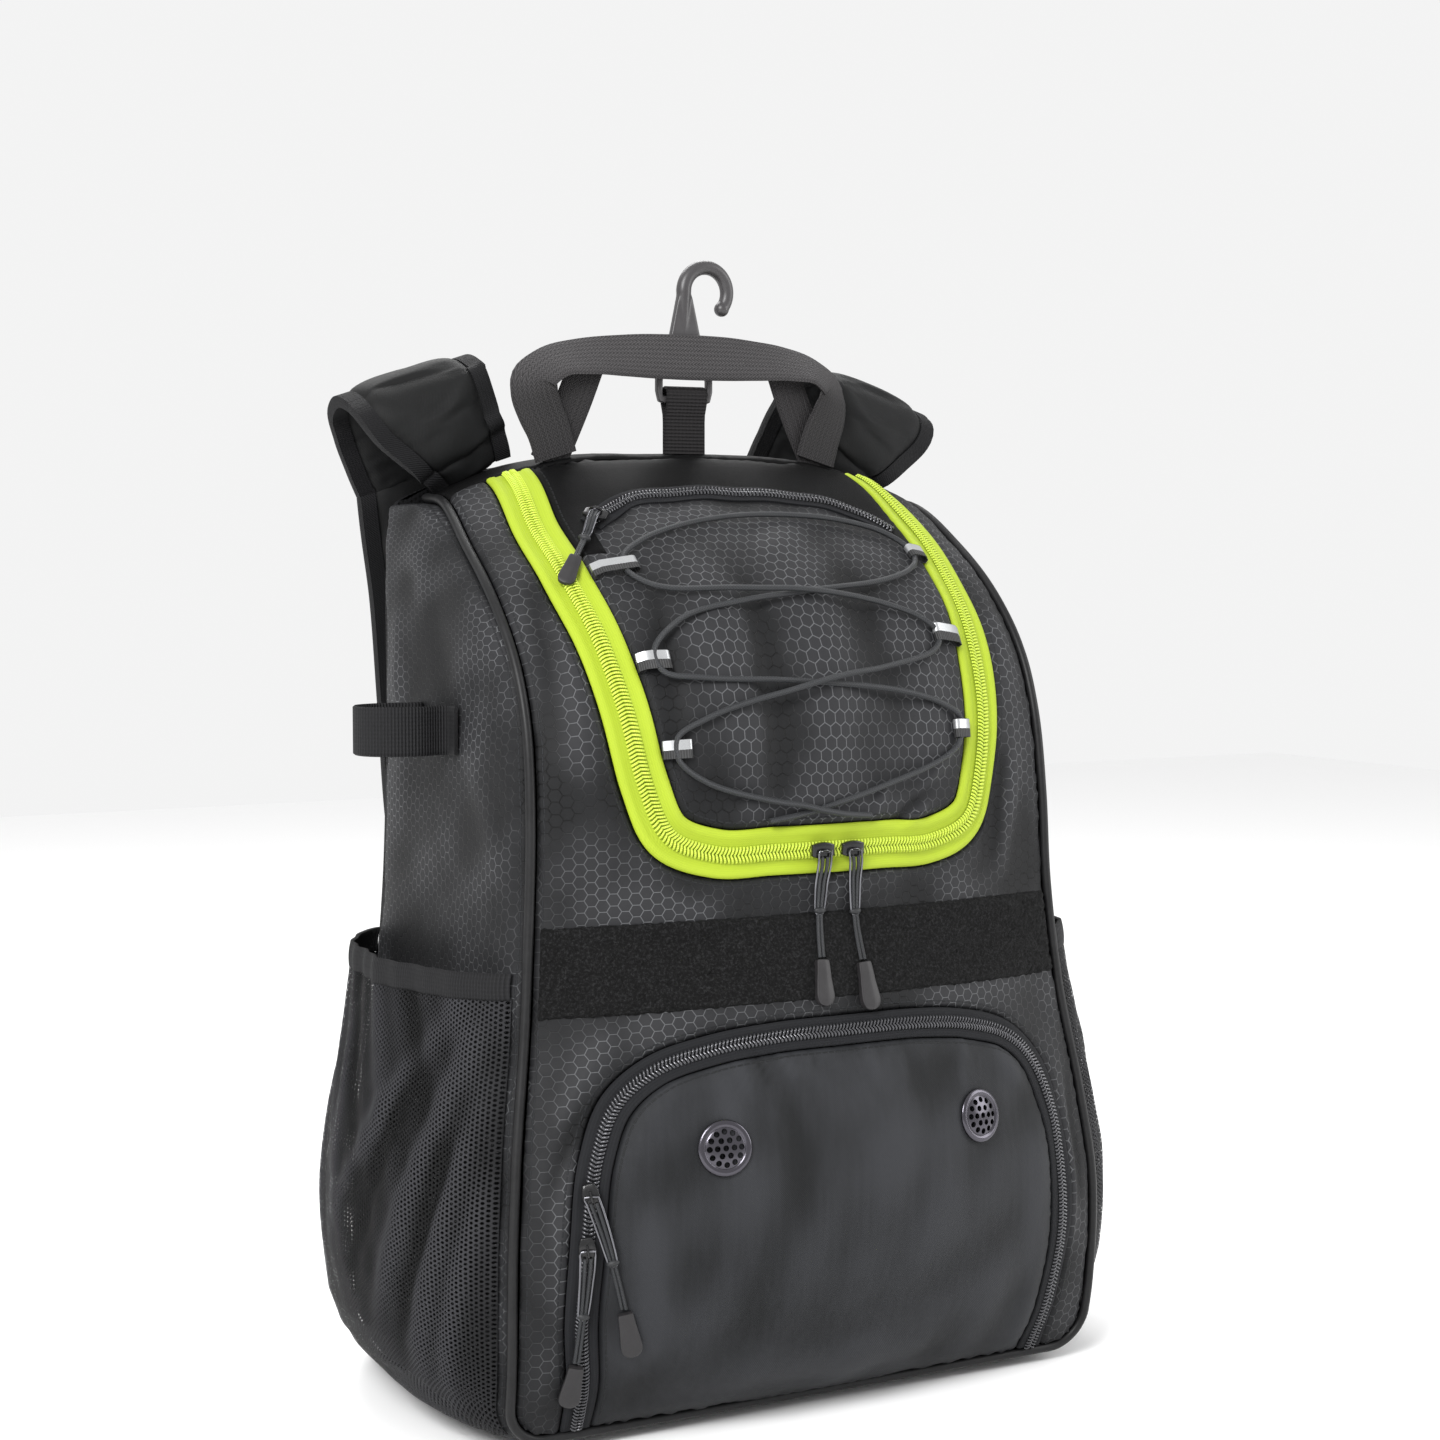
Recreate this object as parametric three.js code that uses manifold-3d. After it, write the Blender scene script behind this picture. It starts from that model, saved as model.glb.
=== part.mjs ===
// A baseball bat backpack, standing on its flat base, zips closed and pockets empty.
// Millimetres. X runs across the bag, +Y towards the wearer's back, +Z up.
// The origin is the centre of the base, on the floor.
import * as THREE from 'three';
import Module from 'manifold-3d';
import { mergeVertices } from 'three/addons/utils/BufferGeometryUtils.js';

const wasm = await Module();
wasm.setup();

// Driving sizes of the body
const bagHeight = 466;        // floor to the seam along the top of the back
const bagDepth = 201.6;       // deepest point of the front edge to the back seam
const bagHalfWidth = 171;     // centre to the piping at its widest
const backSeamY = 94.6;       // where the top panel and the sides meet the back
const frontCrown = 46;        // how far the stuffed front swells past its piping
const sideCrown = 8;          // how far sides and base swell past the piping
const cornerRadius = 20;      // bottom corners of the piping outline
const wall = 2.5;             // body cloth with its foam
const seamGap = 0.3;          // clearance between sewn pieces
const layGap = 0.5;           // clearance under a piece that lies on curved cloth
const topSeam = 0.896;        // share of the front's length where the top panel starts

// Piping, zips and what is sewn to the front
const pipingRadius = 2.5;
const pipingSeat = 3.0;       // piping centre to the cloth beside it
const mainTapeWidth = 24;
const blackTapeWidth = 16;
const pocketTapeWidth = 12;
const tapeThickness = 1.2;
const tapeDrop = 0.5;         // zip tapes lie this far below the cloth's face
const coilWidth = 5.5;
const coilHeight = 1.6;
const loopStripLift = 1.1;    // thickness of the fuzzy strip
const cordRadius = 1.4;
const ribbonWidth = 7;
const ribbonThickness = 0.6;
const ventRadius = 14;
const ventHole = 1.55;
const ventRim = 2.6;

// Zip sliders and pulls
const sliderLength = 13;
const sliderWidth = 9;
const sliderHeight = 2.5;
const lugHole = 1.15;
const wireRadius = 0.6;
const wireLoopLength = 33;
const wireLoopWidth = 7;
const pullLength = 44;
const pullTipWidth = 11;
const pullTipThickness = 4.5;

// Side pockets and bat straps
const pocketFoot = 14;        // lowest edge of the pocket mesh, along the side seam
const pocketRim = 235;        // top of the pocket's elastic binding
const pocketSwell = 37;
const meshThickness = 1.2;
const bindingHeight = 12;
const bindingThickness = 2.2;
const elasticWidth = 25;
const elasticThickness = 1.8;
const batStrapHeight = 335;   // floor to the lower edge of the bat strap
const batStrapReach = 42;
const batStrapLength = 52;

// Handle, tab and hook
const webbingWidth = 25;
const webbingThickness = 1.8;
const handleHalfSpan = 92;
const handleRise = 55;
const handleY = 33;
const tabThickness = 1.5;
const tabRise = 29.2;          // root of the tab to the centre of the hook's bar
const hookY = 39;
const hookBar = 4;
const hookSlotWidth = 27;
const hookSlotHeight = 9.5;
const hookFrame = 3.6;
const hookThickness = 4.4;
const hookShank = 47.5;        // slot to the start of the curl
const hookCurlRadius = 13.4;
const hookRodRadius = 4.2;

// Back panel and shoulder straps
const backEdge = 4;
const backPadding = 7;
const strapWidth = 78;
const strapThickness = 11;
const strapRise = 50;
const strapDrop = 270;        // padded part, below the top seam, down the back
const strapReach = 52;        // from the strap's root back to its hanging part
const strapLean = 45;
const strapRootX = 112;
const strapRootY = 70;
const strapWebWidth = 20;
const buckleHeight = 24;

// Front profile, from the base seam up and over to the back seam. depth is a share of bagDepth
// ahead of the back seam, height a share of the rise above the base seam, width a share of
// bagHalfWidth, crown a share of frontCrown, and power how flat the crown is in the middle.
const profile = [
  { depth: 0.955, height: 0.000, width: 0.994, crown: 0.04, power: 2.2 },
  { depth: 0.990, height: 0.081, width: 1.000, crown: 0.56, power: 2.2 },
  { depth: 1.000, height: 0.201, width: 1.000, crown: 0.91, power: 2.2 },
  { depth: 0.970, height: 0.310, width: 0.971, crown: 1.00, power: 2.2 },
  { depth: 0.930, height: 0.430, width: 0.924, crown: 0.80, power: 2.2 },
  { depth: 0.906, height: 0.550, width: 0.895, crown: 0.61, power: 2.2 },
  { depth: 0.896, height: 0.659, width: 0.883, crown: 0.67, power: 2.2 },
  { depth: 0.866, height: 0.751, width: 0.877, crown: 0.70, power: 2.2 },
  { depth: 0.797, height: 0.823, width: 0.877, crown: 0.65, power: 2.2 },
  { depth: 0.668, height: 0.889, width: 0.877, crown: 0.59, power: 2.3 },
  { depth: 0.499, height: 0.945, width: 0.871, crown: 0.55, power: 2.6 },
  { depth: 0.320, height: 0.991, width: 0.848, crown: 0.56, power: 3.2 },
  { depth: 0.147, height: 0.999, width: 0.813, crown: 0.53, power: 3.6 },
  { depth: 0.000, height: 1.000, width: 0.760, crown: 0.47, power: 3.6 },
];

// Right half of each zip's centre line. across is a share of bagHalfWidth, along a share of the
// front's length. The main zip runs from the middle of its U to the top seam, the shoe pocket's
// from the middle of its arch to the base seam.
const mainZipLine = [
  { across: 0.000, along: 0.4950 },
  { across: 0.187, along: 0.4950 },
  { across: 0.368, along: 0.4955 },
  { across: 0.513, along: 0.5130 },
  { across: 0.573, along: 0.5550 },
  { across: 0.620, along: 0.6300 },
  { across: 0.661, along: 0.7300 },
  { across: 0.667, along: 0.8100 },
  { across: 0.635, along: topSeam },
];
const shoeZipLine = [
  { across: 0.000, along: 0.332 },
  { across: 0.234, along: 0.331 },
  { across: 0.430, along: 0.325 },
  { across: 0.600, along: 0.311 },
  { across: 0.715, along: 0.284 },
  { across: 0.778, along: 0.240 },
  { across: 0.810, along: 0.180 },
  { across: 0.822, along: 0.110 },
  { across: 0.795, along: 0.040 },
];
// The top pocket's zip, from its left end over the flap to its right end.
const topZipLine = [
  { across: -0.515, along: 0.797 },
  { across: -0.380, along: 0.822 },
  { across: -0.234, along: 0.830 },
  { across: -0.088, along: 0.833 },
  { across: 0.117, along: 0.829 },
  { across: 0.322, along: 0.821 },
  { across: 0.470, along: 0.807 },
  { across: 0.535, along: 0.788 },
];
const cornerRow = 3;          // the row where each of the two lines starts to turn its corner

// Elastic cord laced over the flap: x in mm, along as a share of the front's length, and over
// as the share of a full crossing height that the strand stands up at this point.
const cordRoute = [
  [-37, 0.521, 0], [-22, 0.5245, 0], [-7, 0.529, 0], [29, 0.545, 0], [69, 0.566, 0], [80, 0.578, 0],
  [82, 0.596, 0], [71, 0.606, 0], [47, 0.615, 0], [-13, 0.624, 0], [-66, 0.631, 0], [-84, 0.639, 0],
  [-86, 0.655, 0], [-68, 0.677, 0], [-33, 0.687, 0], [3, 0.694, 0], [51, 0.707, 0], [80, 0.727, 0],
  [91, 0.745, 0], [91, 0.762, 0], [80, 0.778, 0], [60, 0.786, 0], [32, 0.789, 0], [-6, 0.787, 0],
  [-44, 0.775, 0], [-70, 0.761, 0], [-83, 0.746, 0], [-84, 0.728, 0], [-72, 0.707, 0.1],
  [-36, 0.696, 0.8], [-6, 0.6925, 1], [20, 0.689, 0.8], [50, 0.685, 0.1], [72, 0.674, 0],
  [80, 0.662, 0], [74, 0.649, 0], [37, 0.633, 0.2], [14, 0.627, 0.8], [-3, 0.6225, 1],
  [-22, 0.617, 0.8], [-44, 0.611, 0.2], [-66, 0.602, 0], [-82, 0.589, 0], [-82, 0.573, 0],
  [-68, 0.554, 0], [-38, 0.538, 0.3], [-20, 0.532, 0.9], [-9, 0.5277, 1], [4, 0.524, 0.8],
  [20, 0.5215, 0.1],
];
// Ribbon loops that hold the cord: side, place along the front, and how far the loop's tip
// stands in from the main zip.
const cordLoops = [
  { side: -1, along: 0.737, reach: 24 },
  { side: -1, along: 0.648, reach: 17 },
  { side: -1, along: 0.581, reach: 14 },
  { side: 1, along: 0.755, reach: 15 },
  { side: 1, along: 0.6630, reach: 25 },
  { side: 1, along: 0.588, reach: 15 },
];

// Sliders: place on the front, zip travel in degrees from X, the pull's swing, how high its
// zip stands off the cloth, how far the wire loop stays up, and the pull's length as a share.
const sliders = [
  { name: 'main_left', across: -0.038, along: 0.495, travel: 0, swing: -4, lift: 0, stays: 7, size: 1 },
  { name: 'main_right', across: 0.062, along: 0.495, travel: 0, swing: 3, lift: 0, stays: 7, size: 1.05 },
  { name: 'top_pocket', across: -0.496, along: 0.801, travel: 38, swing: -27, lift: 1.9, stays: 7, size: 0.5 },
  { name: 'shoe_upper', across: -0.797, along: 0.213, travel: 80, swing: 17, lift: 0, stays: 28, size: 1 },
  { name: 'shoe_lower', across: -0.813, along: 0.172, travel: 84, swing: -3, lift: 0, stays: 7, size: 1 },
];

// Left half of the carry handle from its root to the middle: out is a share of handleHalfSpan,
// up of handleRise, back a share of webbingWidth, and tilt leans the outer edge back.
const handleStations = [
  { out: 0.870, up: 0.000, back: 0.00, tilt: 0 },
  { out: 0.905, up: 0.200, back: 0.00, tilt: 2 },
  { out: 0.965, up: 0.430, back: 0.02, tilt: 10 },
  { out: 1.000, up: 0.640, back: 0.05, tilt: 30 },
  { out: 0.965, up: 0.810, back: 0.08, tilt: 54 },
  { out: 0.860, up: 0.920, back: 0.08, tilt: 56 },
  { out: 0.680, up: 0.975, back: 0.05, tilt: 42 },
  { out: 0.430, up: 0.995, back: 0.02, tilt: 24 },
  { out: 0.200, up: 1.000, back: 0.00, tilt: 12 },
  { out: 0.000, up: 1.000, back: 0.00, tilt: 8 },
];

// A shoulder strap from its root, up and over, then down the back. out is a share of strapLean
// from the root's place, back of strapReach, up of strapRise (or, where negative, of strapDrop),
// width of strapWidth, and lean the slope of its width in degrees.
const strapStations = [
  { out: 0.00, back: 0.00, up: 0.00, width: 0.58, lean: -10 },
  { out: 0.18, back: -0.10, up: 0.22, width: 0.68, lean: -16 },
  { out: 0.42, back: -0.15, up: 0.50, width: 0.84, lean: -20 },
  { out: 0.62, back: -0.12, up: 0.76, width: 0.97, lean: -20 },
  { out: 0.70, back: 0.08, up: 0.94, width: 1.00, lean: -19 },
  { out: 0.72, back: 0.36, up: 1.00, width: 1.00, lean: -18 },
  { out: 0.66, back: 0.66, up: 0.90, width: 1.00, lean: -17 },
  { out: 0.52, back: 0.86, up: 0.62, width: 0.98, lean: -14 },
  { out: 0.34, back: 0.97, up: 0.26, width: 0.95, lean: -10 },
  { out: 0.16, back: 1.05, up: -0.06, width: 0.92, lean: -6 },
  { out: 0.00, back: 1.14, up: -0.24, width: 0.90, lean: -3 },
  { out: -0.10, back: 1.20, up: -0.46, width: 0.88, lean: 0 },
  { out: -0.12, back: 1.16, up: -0.70, width: 0.82, lean: 2 },
  { out: -0.06, back: 1.00, up: -0.92, width: 0.62, lean: 0 },
  { out: -0.06, back: 1.00, up: -1.00, width: 0.44, lean: 0 },
];

// Curves of the body: each column of the profile as a smooth function of the share of length.
const baseSeam = sideCrown;
const rows = profile.map((row) => ({
  y: backSeamY - row.depth * bagDepth,
  z: baseSeam + row.height * (bagHeight - baseSeam),
  width: row.width * bagHalfWidth,
  crown: row.crown * frontCrown,
  power: row.power,
}));
const knots = [0];
for (let i = 1; i < rows.length; i++) {
  knots.push(knots[i - 1] + Math.hypot(rows[i].y - rows[i - 1].y, rows[i].z - rows[i - 1].z));
}
const frontLength = knots[knots.length - 1];

function slopeAt(i, key) {
  const a = Math.max(i - 1, 0);
  const b = Math.min(i + 1, rows.length - 1);
  return (rows[b][key] - rows[a][key]) / (knots[b] - knots[a]);
}

function along(distance, key) {
  let i = 0;
  while (i < rows.length - 2 && distance > knots[i + 1]) i++;
  const span = knots[i + 1] - knots[i];
  const t = (distance - knots[i]) / span;
  const t2 = t * t;
  const t3 = t2 * t;
  return rows[i][key] * (2 * t3 - 3 * t2 + 1) + slopeAt(i, key) * span * (t3 - 2 * t2 + t)
    + rows[i + 1][key] * (3 * t2 - 2 * t3) + slopeAt(i + 1, key) * span * (t3 - t2);
}

// Outward direction of the front profile in the YZ plane.
function profileNormal(distance) {
  const step = 0.5;
  const dy = along(distance + step, 'y') - along(distance - step, 'y');
  const dz = along(distance + step, 'z') - along(distance - step, 'z');
  return new THREE.Vector3(0, -dz, dy).normalize();
}

// A point of the front's outer face: x across and distance up the profile, both in mm.
function face(x, distance) {
  const share = Math.abs(x) / along(distance, 'width');
  const swell = along(distance, 'crown') * (1 - share ** along(distance, 'power'));
  return new THREE.Vector3(x, along(distance, 'y'), along(distance, 'z'))
    .addScaledVector(profileNormal(distance), swell);
}

function onFront(x, distance, lift = 0) {
  const step = 0.5;
  const across = face(x + step, distance).sub(face(x - step, distance));
  const up = face(x, distance + step).sub(face(x, distance - step));
  const normal = across.cross(up).normalize();
  return face(x, distance).addScaledVector(normal, lift);
}

// Closed solids from lists of points and triangles, always turned to face outwards.
function solid(points, triangles) {
  let volume = 0;
  for (const [a, b, c] of triangles) {
    volume += points[a].dot(new THREE.Vector3().crossVectors(points[b], points[c]));
  }
  const turned = volume < 0 ? triangles.map(([a, b, c]) => [a, c, b]) : triangles;
  const geometry = new THREE.BufferGeometry();
  geometry.setAttribute('position', new THREE.Float32BufferAttribute(points.flatMap((p) => p.toArray()), 3));
  geometry.setIndex(turned.flat());
  const loose = geometry.toNonIndexed();
  loose.computeVertexNormals();
  return loose;
}

// A sheet of cloth over a grid: outer and inner faces, and a rim wherever a cell has no neighbour.
function sheet(rowCount, columnCount, place, keep = () => true) {
  const points = [];
  const cells = [];
  const index = (i, j) => i * columnCount + j;
  for (let i = 0; i < rowCount; i++) {
    for (let j = 0; j < columnCount; j++) points.push(place(i, j, 0));
  }
  const half = points.length;
  for (let i = 0; i < rowCount; i++) {
    for (let j = 0; j < columnCount; j++) points.push(place(i, j, 1));
  }
  for (let i = 0; i < rowCount - 1; i++) {
    for (let j = 0; j < columnCount - 1; j++) {
      if (keep(i, j)) cells.push([index(i, j), index(i, j + 1), index(i + 1, j + 1), index(i + 1, j)]);
    }
  }
  const edges = new Set();
  for (const cell of cells) cell.forEach((a, k) => edges.add(`${a},${cell[(k + 1) % 4]}`));
  const triangles = [];
  for (const [a, b, c, d] of cells) {
    triangles.push([a, b, c], [a, c, d], [half + a, half + c, half + b], [half + a, half + d, half + c]);
    [[a, b], [b, c], [c, d], [d, a]].forEach(([p, q]) => {
      if (!edges.has(`${q},${p}`)) triangles.push([q, p, half + p], [q, half + p, half + q]);
    });
  }
  return solid(points, triangles);
}

// A solid through a row of rings of equal length, with flat ends unless it closes on itself.
function loft(rings, closed = false) {
  const size = rings[0].length;
  const triangles = [];
  const last = closed ? rings.length : rings.length - 1;
  for (let i = 0; i < last; i++) {
    const next = (i + 1) % rings.length;
    for (let j = 0; j < size; j++) {
      const k = (j + 1) % size;
      triangles.push([i * size + j, next * size + j, next * size + k]);
      triangles.push([i * size + j, next * size + k, i * size + k]);
    }
  }
  if (!closed) {
    const end = (rings.length - 1) * size;
    for (let j = 1; j < size - 1; j++) {
      triangles.push([0, j, j + 1], [end, end + j + 1, end + j]);
    }
  }
  return solid(rings.flat(), triangles);
}

// A round cord through points, its section carried along without twisting.
function tube(points, radius, sides, closed = false) {
  const count = points.length;
  const at = (i) => points[(i + count) % count];
  const tangentAt = (i) => {
    const before = closed ? at(i - 1) : points[Math.max(i - 1, 0)];
    const after = closed ? at(i + 1) : points[Math.min(i + 1, count - 1)];
    return after.clone().sub(before).normalize();
  };
  let side = new THREE.Vector3(0.31, 0.52, 0.79);
  const rings = points.map((point, i) => {
    const tangent = tangentAt(i);
    side = side.clone().addScaledVector(tangent, -side.dot(tangent)).normalize();
    const other = new THREE.Vector3().crossVectors(tangent, side);
    return Array.from({ length: sides }, (_, k) => {
      const angle = (2 * Math.PI * k) / sides;
      return point.clone().addScaledVector(side, radius * Math.cos(angle))
        .addScaledVector(other, radius * Math.sin(angle));
    });
  });
  return loft(rings, closed);
}

// Booleans on closed meshes.
function toManifold(geometry) {
  const bare = new THREE.BufferGeometry();
  bare.setAttribute('position', geometry.getAttribute('position'));
  if (geometry.index) bare.setIndex(geometry.index);
  const merged = mergeVertices(bare, 1e-4);
  return new wasm.Manifold(new wasm.Mesh({
    numProp: 3,
    vertProperties: new Float32Array(merged.getAttribute('position').array),
    triVerts: new Uint32Array(merged.index.array),
  }));
}

function fromManifold(body) {
  const mesh = body.getMesh();
  const geometry = new THREE.BufferGeometry();
  geometry.setAttribute('position', new THREE.Float32BufferAttribute(mesh.vertProperties, 3));
  geometry.setIndex(Array.from(mesh.triVerts));
  const loose = geometry.toNonIndexed();
  loose.computeVertexNormals();
  return loose;
}

function join(...geometries) {
  return fromManifold(geometries.map(toManifold).reduce((a, b) => a.add(b)));
}

// Lines drawn on the front in (x, distance up the profile).
const perSpan = 2;
function clothLine(table, spans = perSpan) {
  const points = table.map((row) => new THREE.Vector3(row.across * bagHalfWidth, row.along * frontLength, 0));
  const curve = new THREE.CatmullRomCurve3(points);
  const count = (table.length - 1) * spans;
  return Array.from({ length: count + 1 }, (_, i) => curve.getPoint(i / count));
}

// The same line moved sideways by offset, to its left when positive.
function offsetLine(line, offset) {
  return line.map((point, i) => {
    const before = line[Math.max(i - 1, 0)];
    const after = line[Math.min(i + 1, line.length - 1)];
    const direction = after.clone().sub(before).normalize();
    return new THREE.Vector3(point.x - offset * direction.y, point.y + offset * direction.x, 0);
  });
}

const mirrored = (line) => line.map((point) => new THREE.Vector3(-point.x, point.y, 0));
const wholeLine = (half) => [...mirrored(half).reverse().slice(0, -1), ...half];

// Where the cloth of the front ends beside the piping, at a distance up from the base seam.
function edgeX(distance, inset) {
  const radius = cornerRadius - inset;
  const rise = cornerRadius - distance;
  const rounded = rise > 0 ? radius - Math.sqrt(Math.max(radius ** 2 - rise ** 2, 0)) : 0;
  return along(distance, 'width') - inset - rounded;
}

const mainHalf = clothLine(mainZipLine);
const shoeHalf = clothLine([...shoeZipLine, { across: 0.790, along: pipingSeat / frontLength }]);
const turnIndex = cornerRow * perSpan;
const seamDistance = topSeam * frontLength;

// Keeps a moved line's last point on the seam where the line itself ends.
function endOn(line, distance) {
  const last = line[line.length - 1];
  return [...line.slice(0, -1), new THREE.Vector3(last.x, distance, 0)];
}

const shoeOuter = endOn(offsetLine(shoeHalf, blackTapeWidth / 2 + seamGap), pipingSeat);
const shoeInner = endOn(offsetLine(shoeHalf, -blackTapeWidth / 2 - seamGap), pipingSeat);
const mainOuter = endOn(offsetLine(mainHalf, -mainTapeWidth / 2 - seamGap), seamDistance);
const mainInner = endOn(offsetLine(mainHalf, mainTapeWidth / 2 + seamGap), seamDistance);

// Front panel: the cloth around both zips, an H whose upper notch holds the flap and whose
// lower notch holds the shoe pocket.
function frontPanel() {
  const sideCells = 2;
  const middleRows = 6;
  const lowerSide = shoeOuter.slice(turnIndex).reverse();
  const upperSide = mainOuter.slice(turnIndex);
  const low = shoeOuter.slice(0, turnIndex + 1);
  const high = mainOuter.slice(0, turnIndex + 1);
  const grid = [];
  for (const inner of lowerSide.slice(0, -1)) grid.push({ inner, middle: null });
  for (let m = 0; m <= middleRows; m++) {
    const share = m / middleRows;
    const middle = low.map((point, j) => point.clone().lerp(high[j], share));
    grid.push({ inner: middle[turnIndex], middle, open: m < middleRows });
  }
  for (const inner of upperSide.slice(1)) grid.push({ inner, middle: null });
  const rowsOut = grid.map(({ inner, middle }) => {
    const edge = new THREE.Vector3(edgeX(inner.y, pipingSeat), inner.y, 0);
    const right = Array.from({ length: sideCells + 1 }, (_, j) => inner.clone().lerp(edge, j / sideCells));
    const centre = (middle || low).slice(0, -1);
    return [...mirrored([...centre.slice(1), ...right]).reverse(), ...centre, ...right];
  });
  const columns = rowsOut[0].length;
  return sheet(rowsOut.length, columns,
    (i, j, inside) => onFront(rowsOut[i][j].x, rowsOut[i][j].y, -wall * inside),
    (i, j) => j < sideCells || j >= columns - 1 - sideCells || Boolean(grid[i].open));
}

// A panel with one straight end and one end that turns a round corner: the flap, with its
// straight end at the top seam, and the shoe pocket, with its straight end at the base.
function roundedPanel(halfLine, lastRow) {
  const end = halfLine.slice(0, turnIndex + 1);
  const side = halfLine.slice(turnIndex).reverse();
  const turn = end[turnIndex];
  const shares = end.map((point) => point.x / turn.x);
  const all = [...shares.slice(1).reverse().map((s, k) => ({ u: -s, bend: end[turnIndex - k].y - turn.y })),
    ...shares.map((s, k) => ({ u: s, bend: end[k].y - turn.y }))];
  return sheet(side.length, all.length, (i, j, inside) => {
    const fade = (i / (side.length - 1)) ** 2;
    const distance = (i === 0 ? lastRow : side[i].y) + all[j].bend * fade;
    return onFront(all[j].u * side[i].x, distance, -wall * inside);
  });
}

// Top panel, from the top seam back to the back seam.
function topPanel() {
  const rowCount = 6;
  const cells = 10;
  const start = seamDistance + seamGap;
  return sheet(rowCount, cells + 1, (i, j, inside) => {
    const distance = start + (frontLength - start) * (i / (rowCount - 1));
    const u = 2 * (j / cells) - 1;
    return onFront(u * (along(distance, 'width') - pipingSeat), distance, -wall * inside);
  });
}

// The seam between front and sides, as stations from the top left, round the base, to the top
// right. Each has its point on the piping, the way out of the bag there and the profile normal.
const sideEnd = 0.972;
const sideSteps = 13;
const cornerSteps = 4;
const baseSteps = 1;
function seamStations() {
  const half = [];
  for (let i = 0; i <= baseSteps; i++) {
    half.push({ x: ((along(0, 'width') - cornerRadius) * i) / baseSteps, distance: 0, turn: 0 });
  }
  for (let i = 1; i <= cornerSteps; i++) {
    const turn = (Math.PI / 2) * (i / cornerSteps);
    const distance = cornerRadius * (1 - Math.cos(turn));
    half.push({ x: along(distance, 'width') - cornerRadius * (1 - Math.sin(turn)), distance, turn });
  }
  for (let i = 1; i <= sideSteps; i++) {
    const distance = cornerRadius + (sideEnd * frontLength - cornerRadius) * (i / sideSteps);
    half.push({ x: along(distance, 'width'), distance, turn: Math.PI / 2 });
  }
  const station = ({ x, distance, turn }, sign) => ({
    point: new THREE.Vector3(sign * x, along(distance, 'y'), along(distance, 'z')),
    out: new THREE.Vector3(sign * Math.sin(turn), 0, -Math.cos(turn)),
    normal: profileNormal(distance),
  });
  return [...half.slice(1).reverse().map((h) => station(h, -1)), ...half.map((h) => station(h, 1))];
}

// A point of the sides and base: v runs from the front seam (0) to the back seam (1).
const fullSpan = 40;          // narrower than this, the crown of the side dies away
function sidePoint(station, v, plateau, lift) {
  const front = station.point.clone().addScaledVector(station.normal, -pipingSeat);
  const back = new THREE.Vector3(front.x, backSeamY - 0.2, front.z);
  const crown = sideCrown * plateau * Math.min((back.y - front.y) / fullSpan, 1);
  const levelled = station.out.z < -0.999 ? baseSeam - front.z : 0;
  return front.lerp(back, v).addScaledVector(station.out, crown + lift).add(new THREE.Vector3(0, 0, levelled));
}

const sideSections = [
  { v: 0.00, plateau: 0.00 },
  { v: 0.05, plateau: 0.65 },
  { v: 0.12, plateau: 1.00 },
  { v: 0.50, plateau: 1.00 },
  { v: 0.88, plateau: 1.00 },
  { v: 0.95, plateau: 0.65 },
  { v: 1.00, plateau: 0.00 },
];

function plateauAt(v) {
  const k = Math.max(1, sideSections.findIndex((section) => section.v >= v));
  const a = sideSections[k - 1];
  const b = sideSections[k];
  return a.plateau + ((b.plateau - a.plateau) * (v - a.v)) / (b.v - a.v);
}

function gusset() {
  const stations = seamStations();
  return sheet(stations.length, sideSections.length, (i, j, inside) => (
    sidePoint(stations[i], sideSections[j].v, sideSections[j].plateau, -wall * inside)));
}

function piping() {
  const stations = seamStations();
  return tube(stations.map((s) => s.point), pipingRadius, 6);
}

// Back panel: flat inside, padded outside, with the bag's outline.
function backPanel() {
  const inner = backSeamY + 0.2;
  const overlap = 1;
  const foot = baseSeam - overlap;
  const radius = cornerRadius + overlap;
  const heights = [0, 0.006, 0.018, 0.043, 0.1, 0.22, 0.36, 0.5, 0.64, 0.78, 0.9, 0.97, 1];
  const sides = [-1, -0.97, -0.86, -0.45, 0, 0.45, 0.86, 0.97, 1];
  const topZ = bagHeight - seamGap;
  const widthAt = (z) => {
    let distance = 0;
    while (distance < frontLength && along(distance, 'z') < z) distance += 2;
    const rise = radius - (z - foot);
    const rounded = rise > 0 ? radius - Math.sqrt(Math.max(radius ** 2 - rise ** 2, 0)) : 0;
    return along(Math.min(distance, frontLength), 'width') + overlap - rounded;
  };
  return sheet(heights.length, sides.length, (i, j, inside) => {
    const u = sides[j];
    const flat = foot + (topZ - foot) * heights[i];
    const crest = along(frontLength, 'crown') * (1 - Math.abs(u) ** along(frontLength, 'power')) * heights[i] ** 6;
    const edge = Math.min(i, heights.length - 1 - i) === 0 || Math.abs(u) === 1 ? 0 : 1;
    const y = inside ? inner : inner + backEdge + backPadding * edge * (Math.abs(u) > 0.96 ? 0.6 : 1);
    return new THREE.Vector3(u * widthAt(flat), y, flat + crest);
  });
}

// Height of the bag's top at a place behind the top seam.
function topHeight(x, y) {
  let distance = 0.8 * frontLength;
  while (distance < frontLength && onFront(x, distance).y < y) distance += 0.5;
  return onFront(x, distance).z;
}

// A strip laid along a line on the front. Its section is a closed outline of sideways offsets
// and heights above the cloth's face. A level strip has its ends cut along the seams they meet.
function strip(line, section, level = true) {
  const moved = section.map(({ offset }) => offsetLine(line, offset));
  if (level) {
    for (const side of moved) {
      side[0].y = line[0].y;
      side[side.length - 1].y = line[line.length - 1].y;
    }
  }
  return loft(line.map((_, i) => section.map(({ lift }, k) => onFront(moved[k][i].x, moved[k][i].y, lift))));
}

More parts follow.
